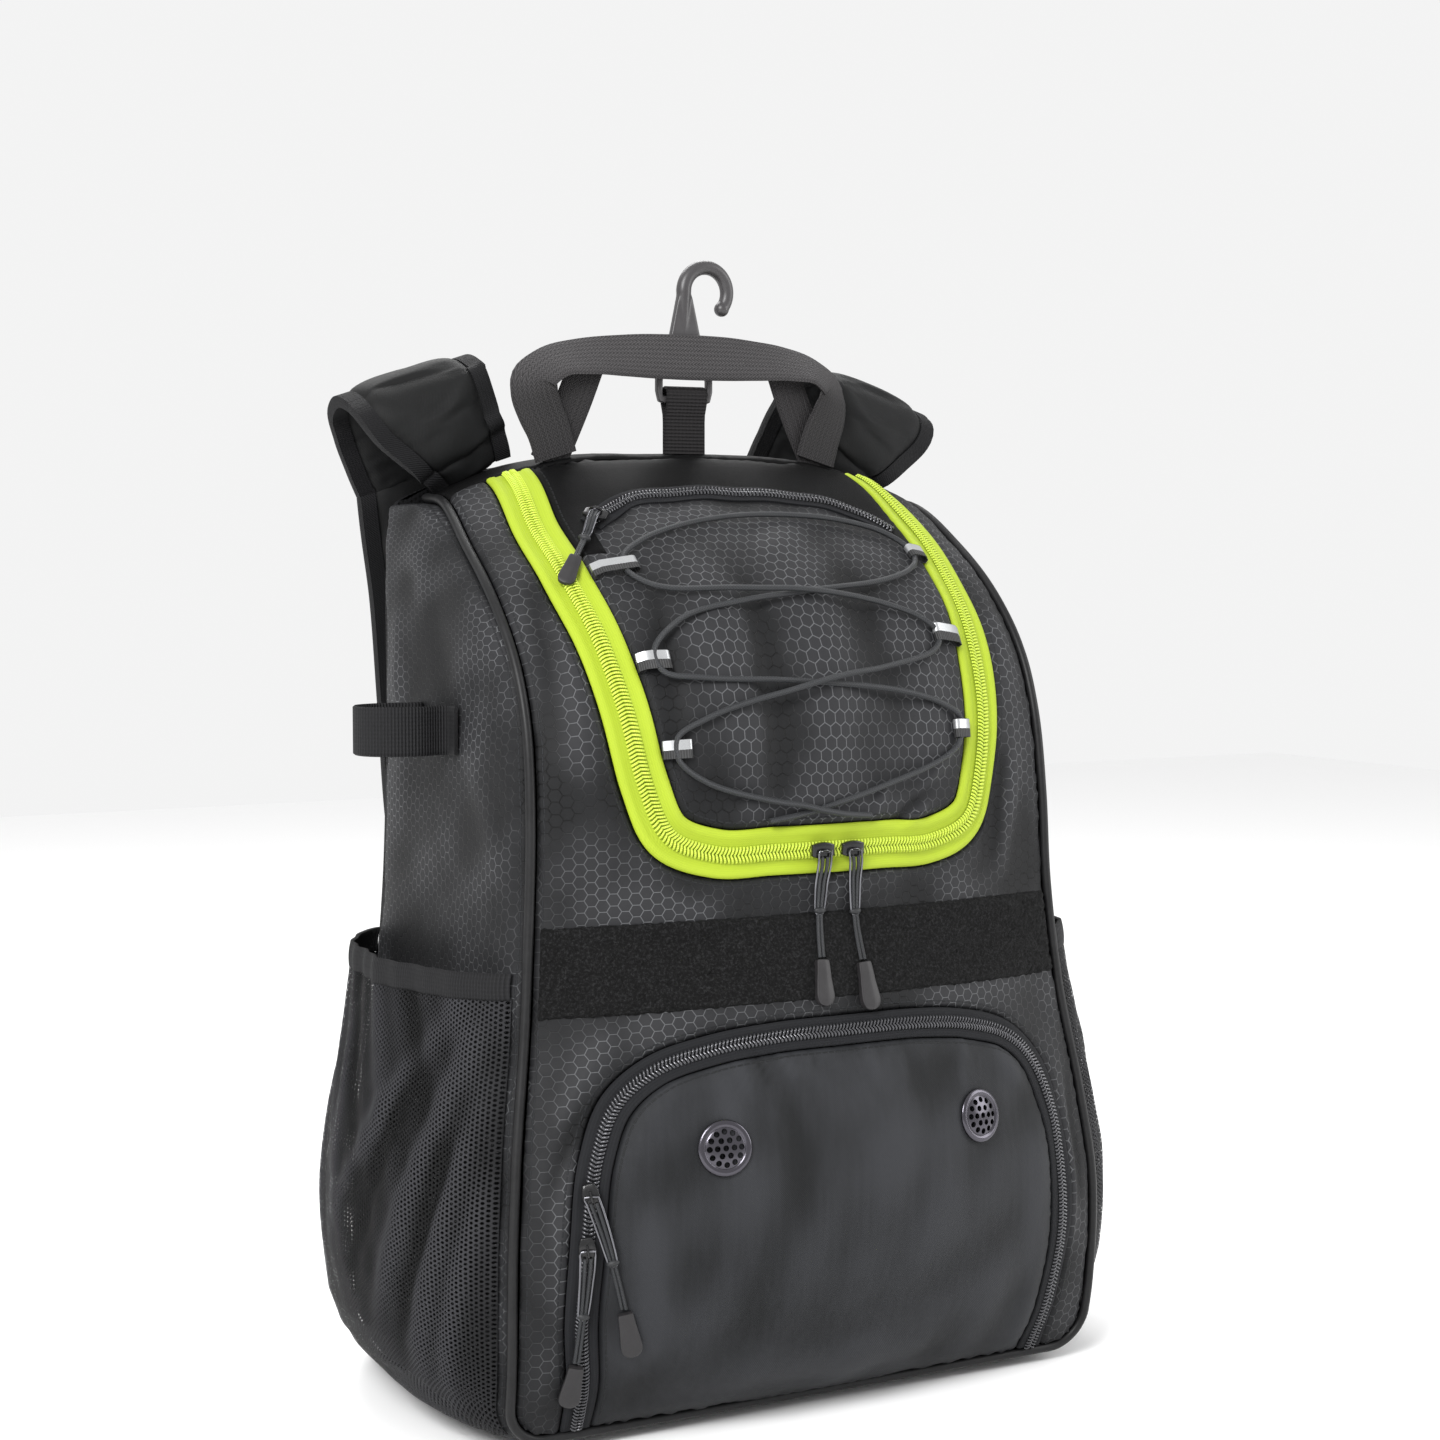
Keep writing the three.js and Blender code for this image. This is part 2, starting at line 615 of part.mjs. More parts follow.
function tapeSection(width, top) {
  return [
    { offset: width / 2, lift: top }, { offset: -width / 2, lift: top },
    { offset: -width / 2, lift: top - tapeThickness }, { offset: width / 2, lift: top - tapeThickness },
  ];
}

function coilSection(top) {
  const half = coilWidth / 2;
  return [
    { offset: half, lift: top + layGap }, { offset: half * 0.6, lift: top + coilHeight },
    { offset: -half * 0.6, lift: top + coilHeight }, { offset: -half, lift: top + layGap },
  ];
}

// Zips are cut a little short of the seams that they run into.
const mainZip = wholeLine(endOn(mainHalf, seamDistance - seamGap));
const shoeZip = wholeLine(endOn(shoeHalf, pipingSeat + seamGap));
const topZip = clothLine(topZipLine);
const topTapeTop = layGap + tapeThickness;

// Fuzzy strip across the front between the two zips.
const loopStrip = { low: 0.361, high: 0.438, reach: 0.955 };
function fuzzyStrip() {
  const cells = 14;
  const rowCount = 4;
  return sheet(rowCount, cells + 1, (i, j, inside) => {
    const distance = frontLength * (loopStrip.low + ((loopStrip.high - loopStrip.low) * i) / (rowCount - 1));
    const x = along(distance, 'width') * loopStrip.reach * (2 * (j / cells) - 1);
    return onFront(x, distance, layGap + loopStripLift * (1 - inside));
  });
}

// The laced cord, standing up over itself where two strands cross.
const ribbonLift = 0.35;
const cordLift = ribbonLift + ribbonThickness + seamGap + cordRadius;
function lacedCord() {
  const crossing = 2 * cordRadius + 2 * seamGap;
  const curve = new THREE.CatmullRomCurve3(cordRoute.map(([x, share, over]) => (
    new THREE.Vector3(x, share * frontLength, cordLift + over * crossing))));
  const steps = (cordRoute.length - 1) * 2;
  const points = Array.from({ length: steps + 1 }, (_, i) => {
    const p = curve.getPoint(i / steps);
    return onFront(p.x, p.y, p.z);
  });
  return tube(points, cordRadius, 5);
}

// Half width of the flap at a distance up the front.
function flapHalfWidth(distance) {
  const side = mainInner.slice(turnIndex);
  const k = Math.max(1, side.findIndex((point) => point.y >= distance));
  const share = (distance - side[k - 1].y) / (side[k].y - side[k - 1].y);
  return side[k - 1].x + (side[k].x - side[k - 1].x) * share;
}

// A ribbon folded over the cord, its ends at the zip tape.
function cordLoop({ side, along: share, reach }) {
  const distance = share * frontLength;
  const root = flapHalfWidth(distance) - seamGap;
  const base = ribbonLift;
  const height = cordLift + cordRadius + seamGap + ribbonThickness - base;
  const outline = (inset) => {
    const bottom = base + inset;
    const top = base + height - inset;
    const middle = (top + bottom) / 2;
    const round = (top - bottom) / 2;
    const points = [[root - inset, bottom], [root - inset, bottom + round * 0.9], [root - reach * 0.45, top]];
    for (let k = 0; k <= 4; k++) {
      const angle = Math.PI / 2 + (Math.PI * k) / 4;
      points.push([root - reach + round + inset + round * Math.cos(angle), middle + round * Math.sin(angle)]);
    }
    return points;
  };
  const place = ([x, lift], end) => onFront(side * x, distance + (end * ribbonWidth) / 2, lift);
  const outer = outline(0);
  const inner = outline(ribbonThickness);
  const rings = outer.map((point, k) => [
    place(point, -1), place(point, 1), place(inner[k], 1), place(inner[k], -1)]);
  return loft(rings, true);
}

// Vent: a rolled rim round a low domed plate with rows of holes.
const ventPlace = { across: 0.433, along: 0.243 };
const ventSections = [
  { radius: 0.80, height: -0.30 }, { radius: 1.00, height: 0.10 }, { radius: 0.93, height: 0.95 },
  { radius: 0.80, height: 0.55 },
];
function vent(side) {
  const outline = [new THREE.Vector2(0, -0.3 * ventRim)];
  for (const { radius, height } of ventSections) {
    outline.push(new THREE.Vector2(radius * ventRadius, height * ventRim));
  }
  outline.push(new THREE.Vector2(0, ventRim));
  let body = toManifold(new THREE.LatheGeometry(outline, 16).rotateX(Math.PI / 2));
  const rings = [{ count: 1, share: 0 }, { count: 6, share: 0.31 }, { count: 12, share: 0.6 }];
  for (const { count, share } of rings) {
    for (let k = 0; k < count; k++) {
      const angle = (2 * Math.PI * k) / count;
      const hole = new THREE.CylinderGeometry(ventHole, ventHole, 4 * ventRim, 5).rotateX(Math.PI / 2);
      hole.translate(share * ventRadius * Math.cos(angle), share * ventRadius * Math.sin(angle), 0);
      body = body.subtract(toManifold(hole));
    }
  }
  const geometry = fromManifold(body);
  const x = side * ventPlace.across * bagHalfWidth;
  const distance = ventPlace.along * frontLength;
  const seat = onFront(x, distance, 0.5 * seamGap + 0.3 * ventRim);
  const normal = onFront(x, distance, 1).sub(onFront(x, distance, 0)).normalize();
  const turn = new THREE.Quaternion().setFromUnitVectors(new THREE.Vector3(0, 0, 1), normal);
  return geometry.applyQuaternion(turn).translate(seat.x, seat.y, seat.z);
}

// A local frame on the front: crossbar direction, pull direction and normal.
function frontFrame(x, distance, degrees) {
  const origin = onFront(x, distance, 0);
  const normal = onFront(x, distance, 1).sub(origin).normalize();
  const up = onFront(x, distance + 1, 0).sub(origin);
  const down = up.addScaledVector(normal, -up.dot(normal)).normalize().negate();
  down.applyAxisAngle(normal, THREE.MathUtils.degToRad(degrees));
  const across = new THREE.Vector3().crossVectors(normal, down);
  return { origin, normal, down, across };
}

// Slider: an oval body over the coil, and a pierced lug on top that carries the wire loop.
function sliderPlace(row) {
  return [row.across * bagHalfWidth, row.along * frontLength];
}
const sliderFloor = -tapeDrop + coilHeight + 2 * seamGap;
const lugCentre = sliderFloor + sliderHeight + lugHole + 0.45;
function slider(row) {
  const body = new THREE.Shape();
  body.absellipse(0, 0, sliderLength / 2, sliderWidth / 2, 0, 2 * Math.PI);
  const plate = new THREE.ExtrudeGeometry(body, { depth: sliderHeight, bevelEnabled: false, curveSegments: 6 });
  plate.rotateZ(THREE.MathUtils.degToRad(row.travel)).translate(0, 0, sliderFloor);
  const lug = new THREE.Shape();
  const lugHalf = 2.3;
  const lugTop = lugCentre + lugHole + 0.9;
  lug.moveTo(-lugHalf, sliderFloor + sliderHeight - 0.5);
  lug.lineTo(lugHalf, sliderFloor + sliderHeight - 0.5);
  lug.lineTo(lugHalf, lugCentre + 0.4);
  lug.lineTo(lugHalf * 0.45, lugTop);
  lug.lineTo(-lugHalf * 0.45, lugTop);
  lug.lineTo(-lugHalf, lugCentre + 0.4);
  const eye = new THREE.Path();
  eye.absellipse(0, lugCentre, lugHole, lugHole, 0, 2 * Math.PI);
  lug.holes.push(eye);
  const lugWidth = 2.4;
  const bridge = new THREE.ExtrudeGeometry(lug, { depth: lugWidth, bevelEnabled: false, curveSegments: 3 });
  bridge.translate(0, 0, -lugWidth / 2).rotateX(Math.PI / 2).rotateZ(Math.PI / 2);
  const [x, distance] = sliderPlace(row);
  const { origin, normal, down, across } = frontFrame(x, distance, 0);
  const basis = new THREE.Matrix4().makeBasis(across, down.clone().negate(), normal);
  basis.setPosition(origin.addScaledVector(normal, row.lift));
  return join(plate, bridge).applyMatrix4(basis);
}

// The wire loop: a long ring whose upper bar passes through the lug and whose lower end rests
// near the cloth.
const wireStations = [
  { share: 0, width: 1 }, { share: 0.18, width: 1 }, { share: 0.5, width: 0.9 },
  { share: 0.88, width: 0.75 }, { share: 1, width: 0.45 },
];
const strapLie = layGap + loopStripLift + seamGap + wireRadius + 0.6;
function pullPoint(row, drop, sideways) {
  const { normal, down, across, origin } = frontFrame(...sliderPlace(row), row.swing);
  const start = origin.clone().addScaledVector(down, drop).addScaledVector(across, sideways);
  const [x, distance] = sliderPlace(row);
  const foot = distance - drop * Math.cos(THREE.MathUtils.degToRad(row.swing));
  const cloth = onFront(x + start.x - origin.x, foot, 0);
  const settle = THREE.MathUtils.smoothstep(drop, row.stays, row.stays + sliderWidth);
  const lift = THREE.MathUtils.lerp(lugCentre + row.lift, strapLie + (row.lift ? 0.4 : 0), settle);
  return cloth.addScaledVector(normal, lift);
}

function wireLoop(row) {
  const half = wireLoopWidth / 2;
  const right = wireStations.map(({ share, width }) => [share * wireLoopLength * row.size, half * width]);
  const left = right.map(([down, out]) => [down, -out]).reverse();
  return tube([...right, ...left].map(([down, out]) => pullPoint(row, down, out)), wireRadius, 4, true);
}

// The pull below it: a short cord with a moulded rubber end.
const pullSections = [
  { share: 0.00, width: 0.26, height: 0.40 }, { share: 0.42, width: 0.30, height: 0.44 },
  { share: 0.45, width: 0.66, height: 0.90 }, { share: 0.88, width: 1.00, height: 1.00 },
  { share: 1.00, width: 0.74, height: 0.80 },
];
function pull(row) {
  const start = wireLoopLength * row.size + wireRadius + 2 * seamGap;
  const rings = pullSections.map(({ share, width, height }) => {
    const centre = pullPoint(row, start + share * pullLength * row.size, 0);
    const { normal, across } = frontFrame(...sliderPlace(row), row.swing);
    const rest = centre.addScaledVector(normal, (pullTipThickness * height) / 2 - wireRadius);
    const sides = 6;
    return Array.from({ length: sides }, (_, k) => {
      const angle = (2 * Math.PI * k) / sides;
      return rest.clone().addScaledVector(across, (pullTipWidth / 2) * width * Math.cos(angle))
        .addScaledVector(normal, (pullTipThickness / 2) * height * Math.sin(angle));
    });
  });
  return loft(rings);
}

// Side stations at chosen heights: the pocket and the strap follow the side seam.
function sideStation(height) {
  let distance = 0;
  while (along(distance, 'z') < height) distance += 0.5;
  const rise = Math.max(cornerRadius - distance, 0);
  const turn = Math.acos(Math.min(rise / cornerRadius, 1));
  return (side) => ({
    point: new THREE.Vector3(side * (along(distance, 'width') - cornerRadius * (1 - Math.sin(turn))),
      along(distance, 'y'), along(distance, 'z')),
    out: new THREE.Vector3(side * Math.sin(turn), 0, -Math.cos(turn)),
    normal: profileNormal(distance),
  });
}

// Mesh pocket: swollen cloth outside the side, gathered in slanting folds from its upper corners.
const pocketRows = [
  { rise: 0.00, swell: 0.00 }, { rise: 0.04, swell: 0.34 }, { rise: 0.10, swell: 0.68 },
  { rise: 0.19, swell: 0.90 }, { rise: 0.32, swell: 1.00 }, { rise: 0.48, swell: 1.02 },
  { rise: 0.64, swell: 1.00 }, { rise: 0.80, swell: 0.95 }, { rise: 0.92, swell: 0.90 },
  { rise: 1.00, swell: 0.86 },
];
const pocketColumns = [0.02, 0.055, 0.12, 0.21, 0.33, 0.46, 0.59, 0.72, 0.84, 0.93, 0.985];
const gatherCount = 3;
const gatherDepth = 1.6;
function pocketOut(v, swell, rise) {
  const across = (v - pocketColumns[0]) / (pocketColumns[pocketColumns.length - 1] - pocketColumns[0]);
  const arch = Math.sin(Math.PI * across) ** 0.7;
  const folds = Math.sin(2 * Math.PI * gatherCount * (across - 0.35 * rise)) * rise * arch;
  return 2 * layGap + meshThickness + pocketSwell * swell * arch + gatherDepth * folds;
}

function meshPocket(side) {
  const top = pocketRim - bindingHeight - seamGap;
  const stations = pocketRows.map(({ rise }) => sideStation(pocketFoot + (top - pocketFoot) * rise)(side));
  return sheet(pocketRows.length, pocketColumns.length, (i, j, inside) => {
    const { rise, swell } = pocketRows[i];
    const v = pocketColumns[j];
    return sidePoint(stations[i], v, plateauAt(v), pocketOut(v, swell, rise) - meshThickness * inside);
  });
}

function pocketBinding(side) {
  const heights = [pocketRim - bindingHeight, pocketRim];
  const stations = heights.map((height) => sideStation(height)(side));
  const swell = pocketRows[pocketRows.length - 1].swell;
  const extra = (bindingThickness - meshThickness) / 2;
  return sheet(2, pocketColumns.length, (i, j, inside) => {
    const v = pocketColumns[j];
    const lift = pocketOut(v, swell - 0.02 * i, 1) + extra - bindingThickness * inside;
    return sidePoint(stations[i], v, plateauAt(v), Math.max(lift, layGap * (1 - inside) + 0.35));
  });
}

// Bat strap: a standing loop of elastic with both ends sewn to the side.
const batStrapPath = [
  { along: 0.00, out: 0.00 }, { along: 0.17, out: 0.00 }, { along: 0.20, out: 0.10 },
  { along: 0.14, out: 0.42 }, { along: 0.20, out: 0.74 }, { along: 0.36, out: 0.96 },
  { along: 0.56, out: 1.00 }, { along: 0.76, out: 0.90 }, { along: 0.87, out: 0.62 },
  { along: 0.86, out: 0.30 }, { along: 0.83, out: 0.08 }, { along: 0.86, out: 0.00 },
  { along: 1.02, out: 0.00 },
];
const batStrapY = -16;
function flatStrip(path, thickness) {
  const outer = path.map((point, i) => {
    const before = path[Math.max(i - 1, 0)];
    const after = path[Math.min(i + 1, path.length - 1)];
    const direction = after.clone().sub(before).normalize();
    return [point.x - direction.y * (thickness / 2), point.y + direction.x * (thickness / 2),
      point.x + direction.y * (thickness / 2), point.y - direction.x * (thickness / 2)];
  });
  return { left: outer.map(([x, y]) => [x, y]), right: outer.map((p) => [p[2], p[3]]) };
}

function batStrap(side) {
  const height = batStrapHeight + elasticWidth / 2;
  const seat = Math.abs(sidePoint(sideStation(height)(side), 0.5, 1, 0).x);
  const foot = seat + layGap + elasticThickness / 2;
  const path = batStrapPath.map((row) => new THREE.Vector2(batStrapY + row.along * batStrapLength,
    foot + row.out * batStrapReach));
  const { left, right } = flatStrip(path, elasticThickness);
  const corner = ([y, x], z) => new THREE.Vector3(side * x, y, z);
  const low = batStrapHeight;
  const high = batStrapHeight + elasticWidth;
  return loft(path.map((_, i) => [
    corner(left[i], low), corner(left[i], high), corner(right[i], high), corner(right[i], low)]));
}

// Carry handle: flat webbing whose legs stand up from the top seam and turn over into the grip.
const handleRoot = handleHalfSpan * handleStations[0].out;
const handleFoot = topHeight(handleRoot - webbingWidth / 2, handleY) + layGap;
function carryHandle() {
  const place = ({ out, up, back }, side) => new THREE.Vector3(side * out * handleHalfSpan,
    handleY + back * webbingWidth, handleFoot + up * handleRise);
  const half = handleStations.map((row) => ({ centre: place(row, -1), tilt: row.tilt }));
  const rest = handleStations.slice(0, -1).reverse().map((row) => ({ centre: place(row, 1), tilt: row.tilt }));
  const stations = [...half, ...rest];
  const front = new THREE.Vector3(0, -1, 0);
  const rings = stations.map(({ centre, tilt }, i) => {
    const before = stations[Math.max(i - 1, 0)].centre;
    const after = stations[Math.min(i + 1, stations.length - 1)].centre;
    const tangent = after.clone().sub(before).normalize();
    const inward = new THREE.Vector3().crossVectors(tangent, front).normalize();
    const lean = THREE.MathUtils.degToRad(tilt);
    const width = inward.multiplyScalar(Math.cos(lean)).addScaledVector(front, Math.sin(lean));
    const normal = new THREE.Vector3().crossVectors(width, tangent).normalize();
    const corner = (w, n) => centre.clone().addScaledVector(width, (w * webbingWidth) / 2)
      .addScaledVector(normal, (n * webbingThickness) / 2);
    return [corner(-1, 1), corner(1, 1), corner(1, -1), corner(-1, -1)];
  });
  return loft(rings);
}

// Hook tab: webbing folded round the hook's bar and sewn flat below it.
const tabFoot = topHeight(0, hookY + tabThickness) + layGap;
const barCentre = tabFoot + tabRise;
function hookTab() {
  const inside = hookBar / 2 + 1.3;
  const outside = inside + tabThickness;
  const crown = barCentre + 3.2;
  const flat = barCentre - 9;
  const outline = new THREE.Shape();
  outline.moveTo(-tabThickness, tabFoot);
  outline.lineTo(-tabThickness, flat);
  outline.lineTo(-outside, barCentre - 2);
  outline.lineTo(-outside, crown);
  outline.absarc(0, crown, outside, Math.PI, 0, true);
  outline.lineTo(outside, barCentre - 2);
  outline.lineTo(tabThickness, flat);
  outline.lineTo(tabThickness, tabFoot);
  const eye = new THREE.Path();
  eye.moveTo(0, flat + 1.4);
  eye.lineTo(inside, barCentre - 1.6);
  eye.lineTo(inside, crown);
  eye.absarc(0, crown, inside, 0, Math.PI, false);
  eye.lineTo(-inside, barCentre - 1.6);
  outline.holes.push(eye);
  const geometry = new THREE.ExtrudeGeometry(outline, { depth: webbingWidth, bevelEnabled: false, curveSegments: 8 });
  return geometry.rotateX(Math.PI / 2).rotateZ(Math.PI / 2).translate(-webbingWidth / 2, hookY, 0);
}

// Fence hook: a flat frame with a slot for the tab, a tapered shank and a round rod curled over.
function fenceHook() {
  const halfSlot = hookSlotWidth / 2;
  const outer = halfSlot + hookFrame;
  const low = barCentre - hookBar / 2;
  const slotLow = barCentre + hookBar / 2;
  const slotHigh = slotLow + hookSlotHeight;
  const shoulder = slotHigh + 5;
  const top = slotHigh + hookShank;
  const rod = hookRodRadius;
  const plate = new THREE.Shape();
  plate.moveTo(-halfSlot + 1, low);
  plate.lineTo(halfSlot - 1, low);
  plate.quadraticCurveTo(outer, low, outer, slotLow + 4);
  plate.lineTo(outer, shoulder - 2);
  plate.quadraticCurveTo(outer, shoulder + 3, outer * 0.68, shoulder + 9);
  plate.lineTo(rod * 1.15, top - 4);
  plate.lineTo(rod * 0.8, top);
  plate.lineTo(-rod * 0.8, top);
  plate.lineTo(-outer * 0.62, shoulder + 9);
  plate.quadraticCurveTo(-outer, shoulder + 3, -outer, shoulder - 2);
  plate.lineTo(-outer, slotLow + 4);
  plate.quadraticCurveTo(-outer, low, -halfSlot + 1, low);
  const slot = new THREE.Path();
  slot.moveTo(-halfSlot, slotLow);
  slot.lineTo(-halfSlot, slotHigh);
  slot.lineTo(halfSlot, slotHigh);
  slot.lineTo(halfSlot, slotLow);
  plate.holes.push(slot);
  const flat = new THREE.ExtrudeGeometry(plate, { depth: hookThickness, bevelEnabled: false, curveSegments: 4 });
  flat.rotateX(Math.PI / 2).translate(0, hookThickness / 2, 0);
  const curlX = hookCurlRadius;
  const points = [new THREE.Vector3(-0.5, 0, top - 14)];
  for (let k = 0; k <= 10; k++) {
    const angle = Math.PI - (k / 10) * THREE.MathUtils.degToRad(221);
    points.push(new THREE.Vector3(curlX + hookCurlRadius * Math.cos(angle), 0,
      top + hookCurlRadius * Math.sin(angle)));
  }
  const rodBody = tube(points, rod, 8);
  const tip = new THREE.SphereGeometry(rod * 0.98, 8, 6);
  const end = points[points.length - 1];
  tip.translate(end.x, end.y, end.z);
  return join(flat, rodBody, tip).translate(0, hookY, 0);
}

// Shoulder strap: a padded band with a rounded rectangular section.
const strapRootHalf = (strapWidth / 2) * strapStations[0].width;
const strapFoot = topHeight(strapRootX - strapRootHalf, strapRootY) + layGap;
function strapCentre(row, side) {
  const up = row.up >= 0 ? row.up * strapRise : row.up * strapDrop;
  return new THREE.Vector3(side * (strapRootX + row.out * strapLean), strapRootY + row.back * strapReach,
    strapFoot + up);
}

function shoulderStrap(side) {
  const centres = strapStations.map((row) => strapCentre(row, side));
  const rings = strapStations.map((row, i) => {
    const before = centres[Math.max(i - 1, 0)];
    const after = centres[Math.min(i + 1, centres.length - 1)];
    const tangent = after.clone().sub(before).normalize();
    const lean = THREE.MathUtils.degToRad(row.lean);
    const rough = new THREE.Vector3(side * Math.cos(lean), 0, Math.sin(lean));
    const width = rough.addScaledVector(tangent, -rough.dot(tangent)).normalize();
    const normal = new THREE.Vector3().crossVectors(width, tangent);
    const half = (strapWidth / 2) * row.width;
    const thick = strapThickness / 2;
    const outline = [[-1, 0], [-0.96, 0.6], [-0.8, 1], [0.8, 1], [0.96, 0.6], [1, 0], [0.96, -0.6],
      [0.8, -1], [-0.8, -1], [-0.96, -0.6]];
    return outline.map(([w, n]) => centres[i].clone().addScaledVector(width, w * half)
      .addScaledVector(normal, n * thick));
  });
  return loft(rings);
}

// Ladder buckle at the strap's lower end, and the webbing from it to the bottom corner.
const strapTail = strapStations[strapStations.length - 1];
const buckleBar = 3.4;
function buckleTop(side) {
  return strapCentre(strapTail, side).add(new THREE.Vector3(0, 0, -seamGap));
}

function strapBuckle(side) {
  const half = strapWebWidth / 2 + buckleBar + 0.6;
  const frame = new THREE.Shape();
  frame.moveTo(-half, 0);
  frame.lineTo(half, 0);
  frame.lineTo(half, -buckleHeight);
  frame.lineTo(-half, -buckleHeight);
  const gap = strapWebWidth / 2 + 0.6;
  const slotTop = (buckleHeight - 3 * buckleBar) / 2;
  [buckleBar, 2 * buckleBar + slotTop].forEach((start) => {
    const slot = new THREE.Path();
    slot.moveTo(-gap, -start);
    slot.lineTo(-gap, -start - slotTop);
    slot.lineTo(gap, -start - slotTop);
    slot.lineTo(gap, -start);
    frame.holes.push(slot);
  });
  const geometry = new THREE.ExtrudeGeometry(frame, { depth: 4, bevelEnabled: false });
  const top = buckleTop(side);
  return geometry.rotateX(Math.PI / 2).translate(0, 2, 0).translate(top.x, top.y, top.z);
}

const webbingRoot = { across: 0.80, height: 0.115 };
function strapWebbing(side) {
  const top = buckleTop(side);
  const start = new THREE.Vector3(top.x, top.y, top.z - buckleHeight - seamGap);
  const outer = backSeamY + 0.2 + backEdge + backPadding + layGap + webbingThickness / 2;
  const end = new THREE.Vector3(side * webbingRoot.across * bagHalfWidth, outer, webbingRoot.height * bagHeight);
  const middle = start.clone().lerp(end, 0.5);
  middle.x = start.x;
  const curve = new THREE.QuadraticBezierCurve3(start, middle, end);
  const width = new THREE.Vector3(1, 0, 0);
  const rings = [0, 0.2, 0.4, 0.6, 0.8, 1].map((share) => {
    const centre = curve.getPoint(share);
    const tangent = curve.getTangent(share);
    const across = width.clone().addScaledVector(tangent, -width.dot(tangent)).normalize();
    const normal = new THREE.Vector3().crossVectors(across, tangent);
    const corner = (w, n) => centre.clone().addScaledVector(across, (w * strapWebWidth) / 2)
      .addScaledVector(normal, (n * webbingThickness) / 2);
    return [corner(-1, 1), corner(1, 1), corner(1, -1), corner(-1, -1)];
  });
  return loft(rings);
}

// Finishes
const finish = (color, roughness, metalness = 0) => () => (
  new THREE.MeshStandardMaterial({ color, roughness, metalness, side: THREE.FrontSide }));
const hexCloth = finish(0x34373a, 0.75);
const smoothCloth = finish(0x222527, 0.8);
const paddedMesh = finish(0x1d1e20, 0.95);
const limeTape = finish(0xb4d23a, 0.7);
const limeCoil = finish(0xc2de52, 0.55);
const blackTape = finish(0x1a1b1c, 0.8);
const blackCoil = finish(0x3a3b3d, 0.35);
const fuzzyLoop = finish(0x101011, 0.98);
const elasticCord = finish(0x161617, 0.7);
const silverRibbon = finish(0xa6a9ad, 0.4);
const vinylPiping = finish(0x111213, 0.3);
const gunmetal = finish(0x4c4c50, 0.35, 0.8);
const openMesh = finish(0x151516, 0.9);
const ribbedElastic = finish(0x19191a, 0.85);
const greyWebbing = finish(0x4e4d4e, 0.8);
const blackWebbing = finish(0x262425, 0.85);
const hookPlastic = finish(0x5b5859, 0.45);
const strapCloth = finish(0x242527, 0.85);
const blackMetal = finish(0x18181a, 0.25, 0.6);
const silverWire = finish(0x9a9b9f, 0.3, 0.9);
const rubberTip = finish(0x2a2b2d, 0.6);
const bucklePlastic = finish(0x161617, 0.5);

const backpack = new THREE.Group();
function add(name, geometry, material) {
  const mesh = new THREE.Mesh(geometry, material());
  mesh.name = name;
  backpack.add(mesh);
}

add('front_panel', frontPanel(), hexCloth);
add('flap_panel', roundedPanel(mainInner, seamDistance), hexCloth);
add('shoe_pocket_panel', roundedPanel(shoeInner, pipingSeat), smoothCloth);
add('top_panel', topPanel(), smoothCloth);
add('gusset', gusset(), hexCloth);
add('back_panel', backPanel(), paddedMesh);
add('piping', piping(), vinylPiping);
add('main_zip_tape', strip(mainZip, tapeSection(mainTapeWidth, -tapeDrop)), limeTape);
add('main_zip_coil', strip(mainZip, coilSection(-tapeDrop)), limeCoil);
add('shoe_zip_tape', strip(shoeZip, tapeSection(blackTapeWidth, -tapeDrop)), blackTape);
add('shoe_zip_coil', strip(shoeZip, coilSection(-tapeDrop)), blackCoil);
add('top_zip_tape', strip(topZip, tapeSection(pocketTapeWidth, topTapeTop), false), blackTape);
add('top_zip_coil', strip(topZip, coilSection(topTapeTop), false), blackCoil);
add('fuzzy_strip', fuzzyStrip(), fuzzyLoop);
add('laced_cord', lacedCord(), elasticCord);
cordLoops.forEach((row, k) => add(`cord_loop_${k + 1}`, cordLoop(row), silverRibbon));
sliders.forEach((row) => {
  add(`slider_${row.name}`, slider(row), blackMetal);
  add(`wire_loop_${row.name}`, wireLoop(row), silverWire);
  add(`pull_${row.name}`, pull(row), rubberTip);
});
[['left', -1], ['right', 1]].forEach(([word, side]) => {
  add(`vent_${word}`, vent(side), gunmetal);
  add(`mesh_pocket_${word}`, meshPocket(side), openMesh);
  add(`pocket_binding_${word}`, pocketBinding(side), ribbedElastic);
  add(`bat_strap_${word}`, batStrap(side), ribbedElastic);
  add(`shoulder_strap_${word}`, shoulderStrap(side), strapCloth);
  add(`strap_buckle_${word}`, strapBuckle(side), bucklePlastic);
  add(`strap_webbing_${word}`, strapWebbing(side), blackWebbing);
});
add('carry_handle', carryHandle(), greyWebbing);
add('hook_tab', hookTab(), blackWebbing);
add('fence_hook', fenceHook(), hookPlastic);

export default backpack;
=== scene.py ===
# %% [markdown]
# # A baseball bat backpack
# The bag stands on its base with its zips closed. Everything sewn to its front follows one curved
# surface, so the lesson starts with that surface and with a few ways to lay cloth, bands and cords
# on it. All lengths below are millimetres until a mesh is made, which is in metres.

# %% Frame
import math
import bpy
import bmesh
import numpy as np
from mathutils import Matrix, Vector


